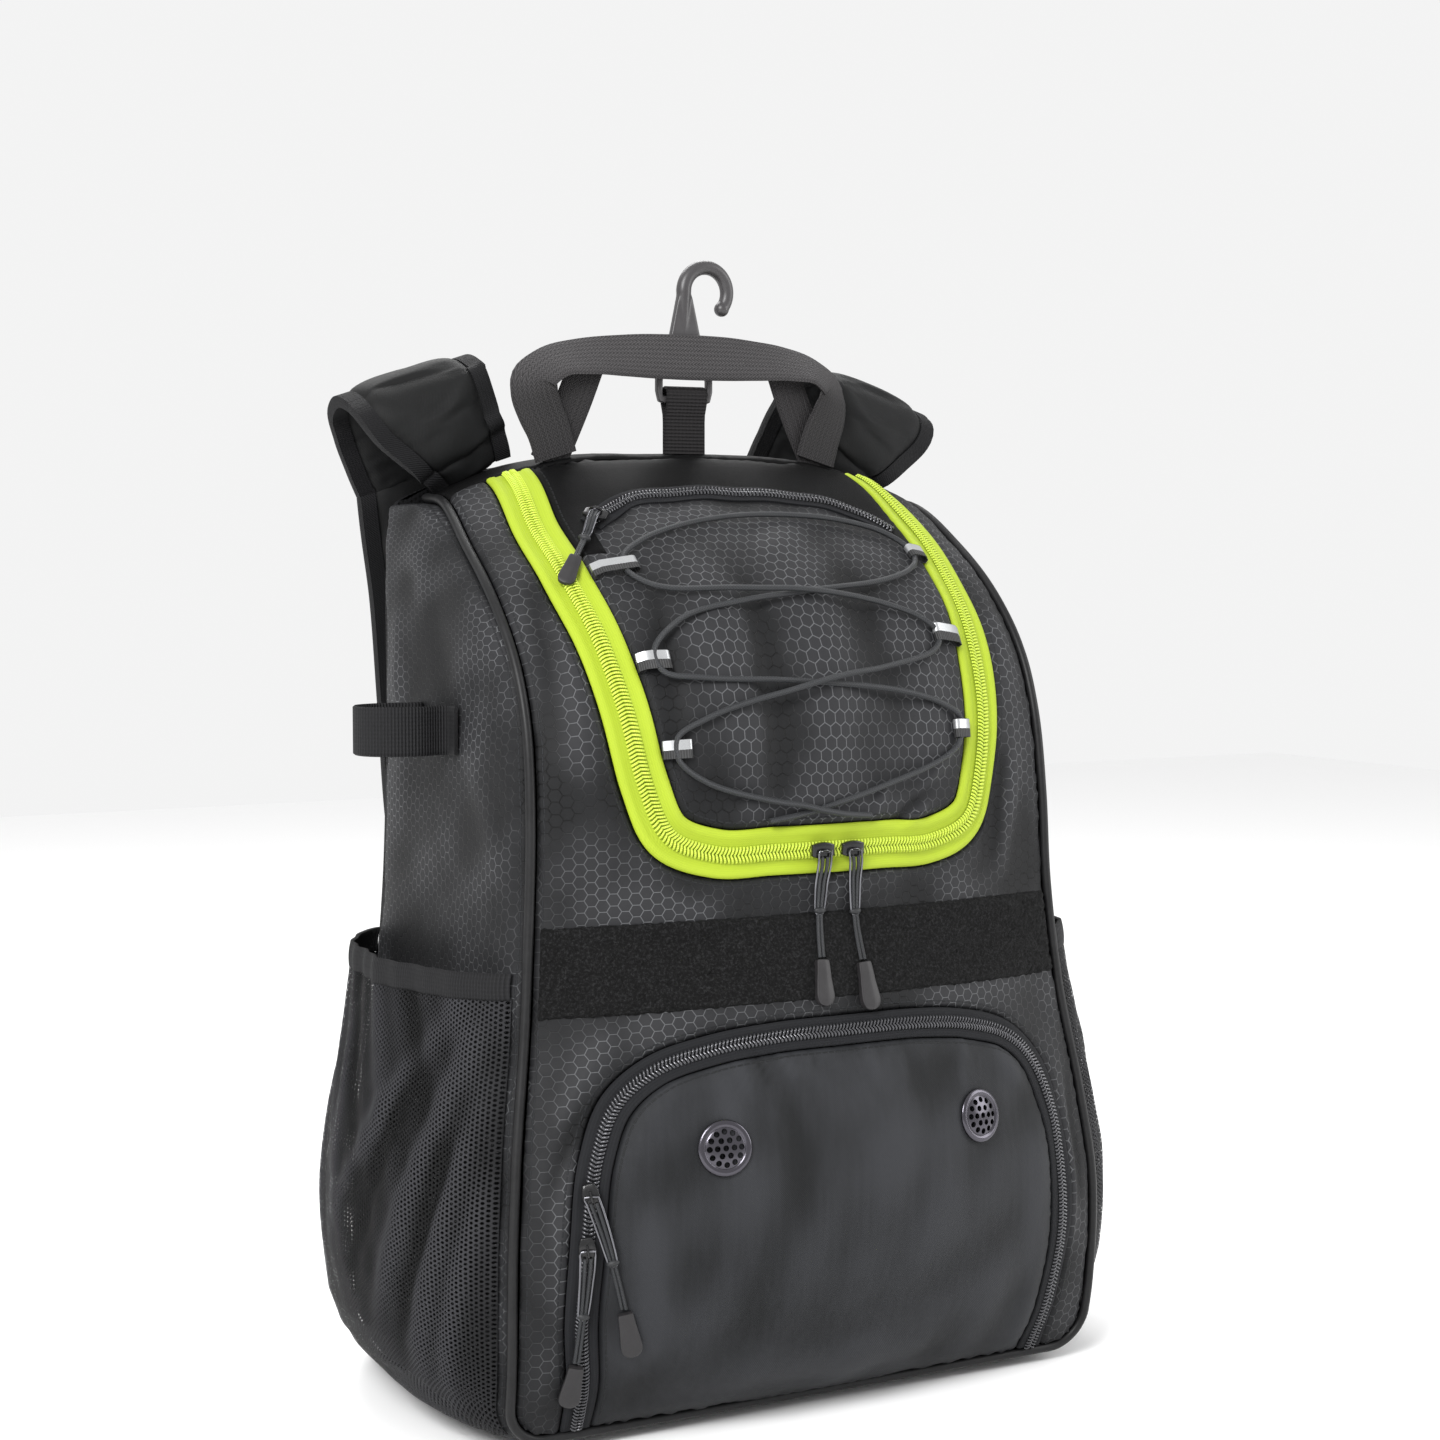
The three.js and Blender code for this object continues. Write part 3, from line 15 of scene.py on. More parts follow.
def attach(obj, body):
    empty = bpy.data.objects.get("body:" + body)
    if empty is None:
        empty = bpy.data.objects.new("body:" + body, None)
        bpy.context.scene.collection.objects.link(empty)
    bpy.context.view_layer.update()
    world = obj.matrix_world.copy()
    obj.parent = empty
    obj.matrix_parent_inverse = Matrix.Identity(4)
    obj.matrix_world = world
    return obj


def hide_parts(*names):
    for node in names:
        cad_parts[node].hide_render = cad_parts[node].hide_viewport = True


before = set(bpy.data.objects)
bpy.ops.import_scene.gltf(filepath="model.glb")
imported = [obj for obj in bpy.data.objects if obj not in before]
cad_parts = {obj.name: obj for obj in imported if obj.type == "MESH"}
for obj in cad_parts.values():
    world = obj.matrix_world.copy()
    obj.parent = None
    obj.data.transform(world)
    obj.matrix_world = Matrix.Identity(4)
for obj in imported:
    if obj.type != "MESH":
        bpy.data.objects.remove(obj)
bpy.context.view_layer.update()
bpy.ops.object.select_all(action="DESELECT")
print("CAD nodes:", len(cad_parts))

# %% [markdown]
# ## The camera
# The bag is seen from its left front, a little above the middle, with a long lens as in a
# catalogue. The camera comes first, so that every later render has the same frame.

# %% Camera
camera = bpy.data.objects.new("camera", bpy.data.cameras.new("camera"))
bpy.context.scene.collection.objects.link(camera)
camera.data.lens = 65
camera.data.sensor_width = 36
camera.location = (-0.6748, -1.2190, 0.4420)
aim = Vector((0.001, 0, 0.347)) - camera.location
camera.rotation_euler = aim.to_track_quat("-Z", "Y").to_euler()
bpy.context.scene.camera = camera
print("camera distance:", round(aim.length, 3))

# %% [markdown]
# ## The shape of the front
# Each row of the table is a station up the front's middle line: how far it lies ahead of the back
# seam, how high it is, half the bag's width there, and how far the stuffed cloth swells past the
# piping. A Hermite curve joins the stations, so the whole front is one smooth function.

# %% Front surface
HEIGHT = 466
DEPTH = 201.6
HALF_WIDTH = 171
BACK_SEAM = 94.6
SWELL = 46
BASE_SEAM = 8
CORNER = 20
PIPING_SEAT = 3.0
TOP_SEAM = 0.896
PROFILE = np.array([
    (0.955, 0.000, 0.994, 0.04, 2.2), (0.990, 0.081, 1.000, 0.56, 2.2), (1.000, 0.201, 1.000, 0.91, 2.2),
    (0.970, 0.310, 0.971, 1.00, 2.2), (0.930, 0.430, 0.924, 0.80, 2.2), (0.906, 0.550, 0.895, 0.61, 2.2),
    (0.896, 0.659, 0.883, 0.67, 2.2), (0.866, 0.751, 0.877, 0.70, 2.2), (0.797, 0.823, 0.877, 0.65, 2.2),
    (0.668, 0.889, 0.877, 0.59, 2.3), (0.499, 0.945, 0.871, 0.55, 2.6), (0.320, 0.991, 0.848, 0.56, 3.2),
    (0.147, 0.999, 0.813, 0.53, 3.6), (0.000, 1.000, 0.760, 0.47, 3.6)])
STATIONS = {
    "y": BACK_SEAM - PROFILE[:, 0] * DEPTH,
    "z": BASE_SEAM + PROFILE[:, 1] * (HEIGHT - BASE_SEAM),
    "width": PROFILE[:, 2] * HALF_WIDTH,
    "crown": PROFILE[:, 3] * SWELL,
    "power": PROFILE[:, 4],
}
STEPS = np.hypot(np.diff(STATIONS["y"]), np.diff(STATIONS["z"]))
KNOTS = np.concatenate([[0], np.cumsum(STEPS)])
LENGTH = KNOTS[-1]
SEAM = TOP_SEAM * LENGTH


def along(distance, key):
    """A column of the profile at a distance up the front, as a smooth curve."""
    distance = np.asarray(distance, float)
    values = STATIONS[key]
    last = len(values) - 1
    i = np.clip(np.searchsorted(KNOTS, distance, side="right") - 1, 0, last - 1)
    span = KNOTS[i + 1] - KNOTS[i]
    t = (distance - KNOTS[i]) / span

    def slope(k):
        a, b = np.maximum(k - 1, 0), np.minimum(k + 1, last)
        return (values[b] - values[a]) / (KNOTS[b] - KNOTS[a])

    return (values[i] * (2 * t**3 - 3 * t**2 + 1) + slope(i) * span * (t**3 - 2 * t**2 + t)
            + values[i + 1] * (3 * t**2 - 2 * t**3) + slope(i + 1) * span * (t**3 - t**2))


def unit(vectors):
    return vectors / np.maximum(np.linalg.norm(vectors, axis=-1, keepdims=True), 1e-9)


def profile_normal(distance):
    distance = np.asarray(distance, float)
    dy = along(distance + 0.5, "y") - along(distance - 0.5, "y")
    dz = along(distance + 0.5, "z") - along(distance - 0.5, "z")
    return unit(np.stack([np.zeros_like(dy), -dz, dy], -1))


def face(x, distance):
    x, distance = np.broadcast_arrays(np.asarray(x, float), np.asarray(distance, float))
    share = np.abs(x) / along(distance, "width")
    swell = along(distance, "crown") * (1 - share ** along(distance, "power"))
    point = np.stack([x, along(distance, "y"), along(distance, "z")], -1)
    return point + profile_normal(distance) * swell[..., None]


def front_normal(x, distance):
    x, distance = np.broadcast_arrays(np.asarray(x, float), np.asarray(distance, float))
    across = face(x + 0.5, distance) - face(x - 0.5, distance)
    up = face(x, distance + 0.5) - face(x, distance - 0.5)
    return unit(np.cross(across, up))


def on_front(x, distance, lift=0):
    """A point of the front's face, raised off the cloth by lift."""
    return face(x, distance) + front_normal(x, distance) * np.asarray(lift, float)[..., None]


print("front length:", round(float(LENGTH), 1), "mm")

# %% [markdown]
# ## Smooth lines
# A table of a few rows is turned into a dense smooth line with a centripetal Catmull-Rom curve. It
# goes through every row, never loops, and is used for zips, cords, straps and the handle alike.


# %% Lines
def smooth(table, per_span):
    rows = np.asarray(table, float)
    padded = np.vstack([2 * rows[0] - rows[1], rows, 2 * rows[-1] - rows[-2]])
    line = []
    for k in range(1, len(padded) - 2):
        p0, p1, p2, p3 = padded[k - 1:k + 3]
        d0, d1, d2 = (max(np.linalg.norm(b - a) ** 0.5, 1e-4) for a, b in ((p0, p1), (p1, p2), (p2, p3)))
        m1 = d1 * ((p1 - p0) / d0 - (p2 - p0) / (d0 + d1) + (p2 - p1) / d1)
        m2 = d1 * ((p2 - p1) / d1 - (p3 - p1) / (d1 + d2) + (p3 - p2) / d2)
        for t in np.arange(per_span) / per_span:
            line.append(p1 * (2 * t**3 - 3 * t**2 + 1) + m1 * (t**3 - 2 * t**2 + t)
                        + p2 * (3 * t**2 - 2 * t**3) + m2 * (t**3 - t**2))
    return np.array(line + [rows[-1]])


def offset(line, aside):
    """A line on the cloth moved to its left."""
    direction = np.empty_like(line)
    direction[1:-1] = line[2:] - line[:-2]
    direction[0], direction[-1] = line[1] - line[0], line[-1] - line[-2]
    direction = unit(direction)
    return line + np.stack([-direction[:, 1], direction[:, 0]], -1) * aside


def end_on(line, distance):
    line = line.copy()
    line[-1, 1] = distance
    return line


def whole(half):
    return np.vstack([(half * (-1, 1))[::-1][:-1], half])


def evenly(line, pitch):
    """The same line as points a fixed pitch apart on the cloth."""
    points = on_front(line[:, 0], line[:, 1])
    run = np.concatenate([[0], np.cumsum(np.linalg.norm(np.diff(points, axis=0), axis=1))])
    marks = np.arange(pitch / 2, run[-1], pitch)
    return np.stack([np.interp(marks, run, line[:, k]) for k in range(line.shape[1])], -1)


SPANS = 12
TURN = 3 * SPANS
SCALE = (HALF_WIDTH, LENGTH)
MAIN_HALF = smooth(np.array([
    (0, 0.4950), (0.187, 0.4950), (0.368, 0.4955), (0.513, 0.5130), (0.573, 0.5550), (0.620, 0.6300),
    (0.661, 0.7300), (0.667, 0.8100), (0.635, TOP_SEAM)]) * SCALE, SPANS)
SHOE_HALF = smooth(np.array([
    (0, 0.332), (0.234, 0.331), (0.430, 0.325), (0.600, 0.311), (0.715, 0.284), (0.778, 0.240),
    (0.810, 0.180), (0.822, 0.110), (0.795, 0.040), (0.790, PIPING_SEAT / LENGTH)]) * SCALE, SPANS)
TOP_ZIP = smooth(np.array([
    (-0.515, 0.797), (-0.380, 0.822), (-0.234, 0.830), (-0.088, 0.833), (0.117, 0.829), (0.322, 0.821),
    (0.470, 0.807), (0.535, 0.788)]) * SCALE, SPANS)
MAIN_TAPE = 24
BLACK_TAPE = 16
SHOE_OUTER = end_on(offset(SHOE_HALF, BLACK_TAPE / 2), PIPING_SEAT)
SHOE_INNER = end_on(offset(SHOE_HALF, -BLACK_TAPE / 2), PIPING_SEAT)
MAIN_OUTER = end_on(offset(MAIN_HALF, -MAIN_TAPE / 2), SEAM)
MAIN_INNER = end_on(offset(MAIN_HALF, MAIN_TAPE / 2), SEAM)
print("main zip:", len(evenly(whole(MAIN_HALF), 1)), "mm long")

# %% [markdown]
# ## Making meshes
# Cloth is a grid of points with two UV maps: one in metres for its weave, and one that holds the
# distance from the nearest seam, for stitches. Bands and cords are rows of rings. Every piece ends
# at the origin with its place in its mesh, rides on a body and hides the solids that it stands for.

# %% Mesh helpers
MM = 0.001


def build(name, points, faces, uvs, material, nodes=(), body="bag", angle=40):
    mesh = bpy.data.meshes.new(name)
    mesh.from_pydata((np.asarray(points).reshape(-1, 3) * MM).tolist(), [], np.asarray(faces).tolist()
                     if not isinstance(faces, list) else faces)
    corner = np.empty(len(mesh.loops), int)
    mesh.loops.foreach_get("vertex_index", corner)
    for key, values in uvs.items():
        layer = mesh.uv_layers.new(name=key)
        layer.data.foreach_set("uv", (np.asarray(values).reshape(-1, 2)[corner] * MM).ravel())
    piece = bpy.data.objects.new(name, mesh)
    bpy.context.scene.collection.objects.link(piece)
    return own(piece, material, nodes, body, angle)


def own(piece, material, nodes=(), body="bag", angle=40):
    """Gives a piece its finish and its body, and hides the solids that it stands for."""
    bpy.context.view_layer.objects.active = piece
    piece.select_set(True)
    bpy.ops.object.transform_apply(location=True, rotation=True, scale=True)
    bpy.ops.object.shade_smooth_by_angle(angle=math.radians(angle))
    piece.select_set(False)
    piece.data.materials.clear()
    piece.data.materials.append(material)
    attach(piece, body)
    if nodes:
        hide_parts(*nodes)
    return piece


def apply(piece, kind, **settings):
    """Adds a modifier and applies it."""
    modifier = piece.modifiers.new(kind.lower(), kind)
    for key, value in settings.items():
        setattr(modifier, key, value)
    bpy.context.view_layer.objects.active = piece
    bpy.ops.object.modifier_apply(modifier=modifier.name)
    return piece


def grid_faces(rows, columns, keep=None, wrap=False):
    index = np.arange(rows * columns).reshape(rows, columns)
    if wrap:
        index = np.hstack([index, index[:, :1]])
    quads = np.stack([index[:-1, :-1], index[:-1, 1:], index[1:, 1:], index[1:, :-1]], -1)
    return quads[keep] if keep is not None else quads.reshape(-1, 4)


def cloth(name, points, uv, material, nodes, keep=None, hem=None, relief=None, wall=2.0):
    """A sheet of cloth with its good side out and its thickness inside."""
    faces = grid_faces(*points.shape[:2], keep)
    flat = points.reshape(-1, 3)
    a, b, c = (flat[faces[:, k]] for k in range(3))
    outward = flat[faces].mean(1) - (0, 0, 230)
    if np.sum(np.cross(b - a, c - a) * outward) < 0:
        faces = faces[:, ::-1]
    # The relief height also goes into the fold UV map, from which the cloth finishes paint light on the
    # crests and shade in the hollows.
    relief = np.zeros(points.shape[:2]) if relief is None else relief
    uvs = {"cloth": uv, "hem": hem if hem is not None else np.full(uv.shape, 99.0),
           "fold": np.stack([relief, 0 * relief], -1)}
    piece = build(name, points, faces, uvs, material, nodes)
    bare = bmesh.new()
    bare.from_mesh(piece.data)
    bmesh.ops.delete(bare, geom=[v for v in bare.verts if not v.link_faces], context="VERTS")
    bare.to_mesh(piece.data)
    bare.free()
    apply(piece, "SOLIDIFY", thickness=wall * MM, offset=-1)
    return piece


def loft(name, rings, material, nodes=(), body="bag", closed=False, angle=40):
    """A closed solid through rings of points, with UVs that run round and along it."""
    rings = np.asarray(rings, float)
    count, size = rings.shape[:2]
    around = np.concatenate([[0], np.cumsum(np.linalg.norm(np.diff(rings[count // 2], axis=0), axis=1))])
    run = np.concatenate([[0], np.cumsum(np.linalg.norm(np.diff(rings.mean(1), axis=0), axis=1))])
    uv = np.stack(np.broadcast_arrays(around[None, :], run[:, None]), -1)
    faces = grid_faces(count, size, wrap=True).tolist()
    if closed:
        last = (count - 1) * size
        faces += [[last + k, last + (k + 1) % size, (k + 1) % size, k] for k in range(size)]
    else:
        faces += [list(range(size)), list(range(size * (count - 1), size * count))]
    piece = build(name, rings, faces, {"cloth": uv}, material, nodes, body, angle)
    fix_normals(piece)
    return piece


def fix_normals(piece):
    shell = bmesh.new()
    shell.from_mesh(piece.data)
    bmesh.ops.recalc_face_normals(shell, faces=shell.faces)
    shell.to_mesh(piece.data)
    shell.free()


def tubes(name, paths, radius, material, nodes=(), normals=None, sides=8, closed=False, body="bag"):
    """Round strands, one for each path, all in one piece."""
    paths = np.asarray(paths, float)
    if paths.ndim == 2:
        paths = paths[None]
    count, steps = paths.shape[:2]
    if closed:
        tangent = unit(np.roll(paths, -1, 1) - np.roll(paths, 1, 1))
    else:
        tangent = unit(np.gradient(paths, axis=1))
    if normals is None:
        normals = np.broadcast_to(np.array([0.31, 0.52, 0.79]), paths.shape)
    side = unit(np.cross(tangent, normals))
    up = np.cross(side, tangent)
    angle = 2 * np.pi * np.arange(sides) / sides
    radius = np.broadcast_to(np.asarray(radius, float), (count, steps))[..., None, None]
    points = paths[:, :, None] + radius * (np.cos(angle)[:, None] * side[:, :, None]
                                           + np.sin(angle)[:, None] * up[:, :, None])
    strides = np.linalg.norm(np.diff(paths, axis=1), axis=2)
    run = np.concatenate([np.zeros((count, 1)), np.cumsum(strides, 1)], 1)
    uv = np.stack(np.broadcast_arrays((angle * radius[0, 0, 0, 0])[None, None], run[..., None]), -1)
    faces = []
    one = grid_faces(steps, sides, wrap=True)
    for k in range(count):
        base = k * steps * sides
        faces += (one + base).tolist()
        last = base + (steps - 1) * sides
        if closed:
            faces += [[last + j, last + (j + 1) % sides, base + (j + 1) % sides, base + j]
                      for j in range(sides)]
        else:
            faces += [list(range(base, base + sides)), list(range(last, last + sides))]
    piece = build(name, points, faces, {"cloth": uv}, material, nodes, body, 60)
    fix_normals(piece)
    return piece


# %% [markdown]
# ## Shader maths
# A Wire is one socket of a material's node tree. Its operators add Math nodes, so a pattern reads
# like ordinary Python. Every other node comes from Finish.node, which takes the node's type, its
# settings and what goes into its sockets.


# %% Shader classes
class Wire:
    def __init__(self, finish, socket):
        self.finish = finish
        self.socket = socket

    def maths(self, operation, *others):
        values = dict(enumerate((self, *others)))
        return self.finish.node("Math", {"operation": operation}, values)

    def __add__(self, other):
        return self.maths("ADD", other)

    def __radd__(self, other):
        return self.maths("ADD", other)

    def __sub__(self, other):
        return self.maths("SUBTRACT", other)

    def __mul__(self, other):
        return self.maths("MULTIPLY", other)

    def __rmul__(self, other):
        return self.maths("MULTIPLY", other)

    def __truediv__(self, other):
        return self.maths("DIVIDE", other)

    def __pow__(self, other):
        return self.maths("POWER", other)

    def __rsub__(self, other):
        return (self * -1) + other


class Finish:
    def __init__(self, name):
        self.material = bpy.data.materials.new(name)
        self.material.use_nodes = True
        self.tree = self.material.node_tree
        self.tree.nodes.clear()

    def node(self, kind, settings=None, sockets=None, out=0):
        made = self.tree.nodes.new("ShaderNode" + kind)
        for key, value in (settings or {}).items():
            if key == "stops":
                ramp = made.color_ramp
                while len(ramp.elements) < len(value):
                    ramp.elements.new(0.5)
                for element, (place, colour) in zip(ramp.elements, value):
                    element.position = place
                    element.color = colour
            else:
                setattr(made, key, value)
        for key, value in (sockets or {}).items():
            if isinstance(value, Wire):
                self.tree.links.new(value.socket, made.inputs[key])
            else:
                made.inputs[key].default_value = value
        return Wire(self, made.outputs[out]) if made.outputs else None

    def uv(self, name="cloth"):
        """Across and along on the cloth, in millimetres."""
        split = self.node("SeparateXYZ", None, {0: self.node("UVMap", {"uv_map": name})})
        return split * 1000, Wire(self, split.socket.node.outputs[1]) * 1000

    def place(self):
        return self.node("TexCoord", None, None, "Object")

    def noise(self, scale, detail=2.0, vector=None, roughness=0.5):
        return self.node("TexNoise", None, {"Vector": vector or self.place(), "Scale": scale,
                                            "Detail": detail, "Roughness": roughness})

    def mix(self, factor, a, b):
        return self.node("Mix", {"data_type": "RGBA"}, {"Factor": factor, 6: a, 7: b}, 2)

    def step(self, value, low, high):
        """0 below low, 1 above high, and smooth between."""
        return self.node("MapRange", {"interpolation_type": "SMOOTHSTEP"},
                         {"Value": value, "From Min": low, "From Max": high})

    def surface(self, base, roughness, height=None, depth=0.3, alpha=None, **plain):
        """The shader: colour and roughness may vary, height is a bump in millimetres of depth."""
        sockets = {"Base Color": base, "Roughness": roughness, **plain}
        if height is not None:
            sockets["Normal"] = self.node("Bump", None, {"Strength": 1.0, "Distance": depth * MM,
                                                         "Height": height})
        if alpha is not None:
            sockets["Alpha"] = alpha
        shader = self.node("BsdfPrincipled", None, sockets)
        self.node("OutputMaterial", None, {"Surface": shader})
        return self.material


def rgb(value):
    """A colour written as on a screen, made linear."""
    channels = [int(value[k:k + 2], 16) / 255 for k in (0, 2, 4)]
    return (*[c / 12.92 if c < 0.04045 else ((c + 0.055) / 1.055) ** 2.4 for c in channels], 1)

# %% [markdown]
# ## Honeycomb cloth
# The body is a dark ripstop with a honeycomb pressed into it. Hexagons come from the distance to
# the nearest of two interleaved grids of centres. The pressed lines are smoother than the cloth
# between them. The cloth and its lines are also painted paler, with bright lines, on the crests of
# the relief, and darker, with black lines, in its hollows: painted light and shade.

# %% Honeycomb and smooth cloth
HEX_WIDTH = 6.9


def hexagons(u, v, width):
    """0 in the middle of each hexagon, 1 on its edge."""
    pitch_u, pitch_v = 1.5 * width, width * math.sqrt(3) / 2

    def centred(shift):
        x = ((u + shift * pitch_u / 2) / pitch_u).maths("FRACT") - 0.5
        y = ((v + shift * pitch_v / 2) / pitch_v).maths("FRACT") - 0.5
        x, y = (x * pitch_u).maths("ABSOLUTE"), (y * pitch_v).maths("ABSOLUTE")
        return y.maths("MAXIMUM", x * (math.sqrt(3) / 2) + y * 0.5)

    return centred(0).maths("MINIMUM", centred(1)) / (pitch_v / 2)


def stitches(finish, run, across, at, pitch=3.6, half=0.45):
    """1 on the threads of a row of stitches that runs at a distance from the seam."""
    beside = finish.step((across - at).maths("ABSOLUTE"), half, half * 0.6)
    thread = finish.step(((run / pitch).maths("FRACT") - 0.5).maths("ABSOLUTE"), 0.40, 0.34)
    return beside * thread


def ripstop(name, turned=False):
    """Honeycomb cloth with painted light and shade: paler with bright lines on its crests and darker with
    black lines in its folds.
    """
    finish = Finish(name)
    u, v = finish.uv()
    across, run = finish.uv("hem")
    relief, _ = finish.uv("fold")
    edge = hexagons(v, u, HEX_WIDTH) if turned else hexagons(u, v, HEX_WIDTH)
    crease = finish.step(edge, 0.88, 0.97)
    grain = finish.noise(1500, 2)
    shade_mottle = finish.noise(14, 3)
    # Painted light and shade: near 1 on the crests of the relief and near 0 in its hollows, broken up by
    # random noise.
    light = finish.step(relief + (shade_mottle - 0.5) * 9, -1.7, 2.0)
    # The cloth's colour and its lines' colour, each in painted shade and in painted light.
    body = finish.mix(light, rgb("040405"), rgb("222224"))
    lines = finish.mix(light, rgb("010101"), rgb("525355"))
    thread = ((u * 8).maths("SINE") * (v * 8).maths("SINE") + 1) * 0.5
    colour = finish.mix(crease, finish.mix(grain * 0.3, body, rgb("303133")), lines)
    sewn = stitches(finish, run, across, 3.2)
    colour = finish.mix(sewn, colour, rgb("1d1e20"))
    height = crease * -0.6 + thread * 0.12 + grain * 0.25 + sewn * 0.8 - finish.step(across, 3.2, 1.6) * 0.15
    rough = 0.56 + grain * 0.16 - crease * 0.16
    return finish.surface(colour, rough, height, 0.35, **{"Specular IOR Level": 0.2})


def plain_cloth(name, dark, light, gleam=0.2):
    """Smooth woven cloth: a fine twill, painted paler on its crests and darker in its hollows, with faint
    upright streaks of painted light and shade.
    """
    finish = Finish(name)
    u, v = finish.uv()
    across, run = finish.uv("hem")
    relief, _ = finish.uv("fold")
    rib = ((u + v) * 6).maths("SINE") * 0.5 + 0.5
    grain = finish.noise(900, 3)
    shade_mottle = finish.noise(9, 3)
    # Faint upright streaks, part of the painted light and shade.
    shade_streak = finish.noise(1, 2, finish.node("Mapping", None, {
        "Vector": finish.place(), "Scale": (260, 260, 14)}))
    # Painted light and shade: near 1 on the crests of the relief and near 0 in its hollows, broken up by
    # random noise and the upright streaks.
    painted_light = finish.step(relief + (shade_mottle - 0.5) * 3 + (shade_streak - 0.5) * 1.2, -1.6, 1.8)
    # The dark colour is the cloth in painted shade and the light colour the cloth in painted light; the fine
    # grain is its own.
    colour = finish.mix(painted_light * 0.8 + grain * 0.2, rgb(dark), rgb(light))
    sewn = stitches(finish, run, across, 3.0)
    colour = finish.mix(sewn, colour, rgb("1c1d1e"))
    height = rib * 0.18 + grain * 0.22 + sewn * 0.8
    return finish.surface(colour, 0.6 + grain * 0.12, height, 0.35, **{"Specular IOR Level": gleam})


HEX_CLOTH = ripstop("hex_cloth")
FLAP_HEX_CLOTH = ripstop("flap_hex_cloth", True)
# For each plain cloth, the two colours are its colour in painted shade and in painted light.
SMOOTH_CLOTH = plain_cloth("smooth_cloth", "0c0d0e", "2c2d30")
PAD_CLOTH = plain_cloth("pad_cloth", "090909", "121314")
TOP_CLOTH = plain_cloth("top_cloth", "020202", "060607", gleam=0.1)
print("hexagons:", round(HEX_WIDTH * 0.75, 2), "by", round(HEX_WIDTH * math.sqrt(3) / 2, 2), "mm apart")

# %% [markdown]
# ## Zip, ribbon and webbing finishes
# Woven bands repeat a small cell along their own UVs: herringbone for the zip tape, ribs across the
# elastic, and a chevron for the webbing. Hard parts get their gloss from roughness and a thin coat.

# %% Woven finishes


def woven(name, dark, light, pitch, slant=0.0, herring=0.0, rough=0.75, depth=0.4, sheen=0.45, shade_tone=1.0):
    """Ribs across a band, slanted or turned into a herringbone of the given width."""
    finish = Finish(name)
    u, v = finish.uv()
    if herring:
        fold = ((u / herring).maths("FRACT") - 0.5).maths("ABSOLUTE") * (2 * herring)
        phase = v + fold * slant
    else:
        phase = v + u * slant
    rib = (phase * (2 * math.pi / pitch)).maths("SINE") * 0.5 + 0.5
    strand = (u * (2 * math.pi / (pitch * 1.2))).maths("SINE") * 0.5 + 0.5
    grain = finish.noise(1600, 2)
    # Painted shade: below about 515 to 540 mm up, the tone is multiplied by the last argument, so the band is
    # darker lower down; 1 leaves it even.
    height_up = finish.node("SeparateXYZ", None, {0: finish.place()}).socket.node.outputs[2]
    tone = (rib * 0.5 + strand * 0.2 + grain * 0.3) * (finish.step(Wire(finish, height_up), 0.515, 0.54)
                                                      * (1 - shade_tone) + shade_tone)
    colour = finish.mix(tone, rgb(dark), rgb(light))
    height = rib * 0.7 + strand * 0.2 + grain * 0.2
    return finish.surface(colour, rough + grain * 0.1, height, depth, **{"Specular IOR Level": sheen})


LIME_TAPE = woven("lime_tape", "8a9c20", "a6ba2c", 0.9, 1.1, 0.0, 0.62, 0.16, 0.3)
LIME_TEETH = woven("lime_teeth", "8ea023", "c9dc4c", 0.9, 0.0, 0.0, 0.42, 0.08, 0.4)
BLACK_TAPE_CLOTH = woven("black_tape", "08080a", "222326", 1.2, 1.0, 4.0, 0.7, 0.2, 0.2)
ELASTIC = woven("ribbed_elastic", "080809", "1d1d1f", 1.7, 0.0, 0.0, 0.72, 0.55, 0.25)
BLACK_WEBBING = woven("black_webbing", "090809", "201e1f", 1.9, 0.0, 0.0, 0.75, 0.6, 0.25)
# Painted shade: the handle's webbing is darker below the top of its grip.
GREY_WEBBING = woven("grey_webbing", "141314", "4e4c4d", 2.1, 0.8, 3.4, 0.72, 0.45, 0.25, 0.35)
# Painted shade: a darker copy of the grey webbing, for the second layer behind each handle leg.
SHADED_LEG_WEBBING = woven("shaded_leg_webbing", "111011", "2e2c2d", 2.1, 0.8, 3.4, 0.72, 0.45, 0.3)
BINDING_TWILL = woven("binding_twill", "070708", "161618", 1.4, 0.9, 0.0, 0.7, 0.35, 0.2)
CORD_BRAID = woven("elastic_cord", "0c0c0d", "333538", 1.6, 0.9, 1.5, 0.5, 0.25, 0.4)


def hard(name, colour, rough, metallic=0.0, coat=0.0, gleam=0.3):
    """Moulded or drawn parts: faint mottling in the colour and the gloss, and a very fine grain."""
    finish = Finish(name)
    speck = finish.noise(500, 3)
    cloud = finish.noise(60, 2)
    tone = finish.mix(speck * 0.06 + cloud * 0.05, rgb(colour), rgb("6a6a6d"))
    return finish.surface(tone, rough + cloud * 0.08, speck, 0.02, Metallic=metallic,
                          **{"Coat Weight": coat, "Specular IOR Level": gleam})


VINYL = hard("vinyl_piping", "040404", 0.40, gleam=0.22)
BLACK_ENAMEL = hard("black_enamel", "020202", 0.18, coat=0.2, gleam=0.25)
DARK_WIRE = hard("dark_wire", "69696d", 0.16, 1.0)
# The coil is black; it is given a grey colour and a metallic gloss so its links show as small light dots,
# partly real gloss and partly painted glint.
BLACK_TEETH = hard("black_teeth", "434346", 0.22, 0.6, 0.3)
GUNMETAL = hard("gunmetal", "4b494f", 0.18, 0.95)
RUBBER = hard("rubber_tip", "1a1819", 0.45, gleam=0.35)
HOOK_PLASTIC = hard("hook_plastic", "2f2d2e", 0.34, gleam=0.45)
BUCKLE_PLASTIC = hard("buckle_plastic", "0a0a0b", 0.42)


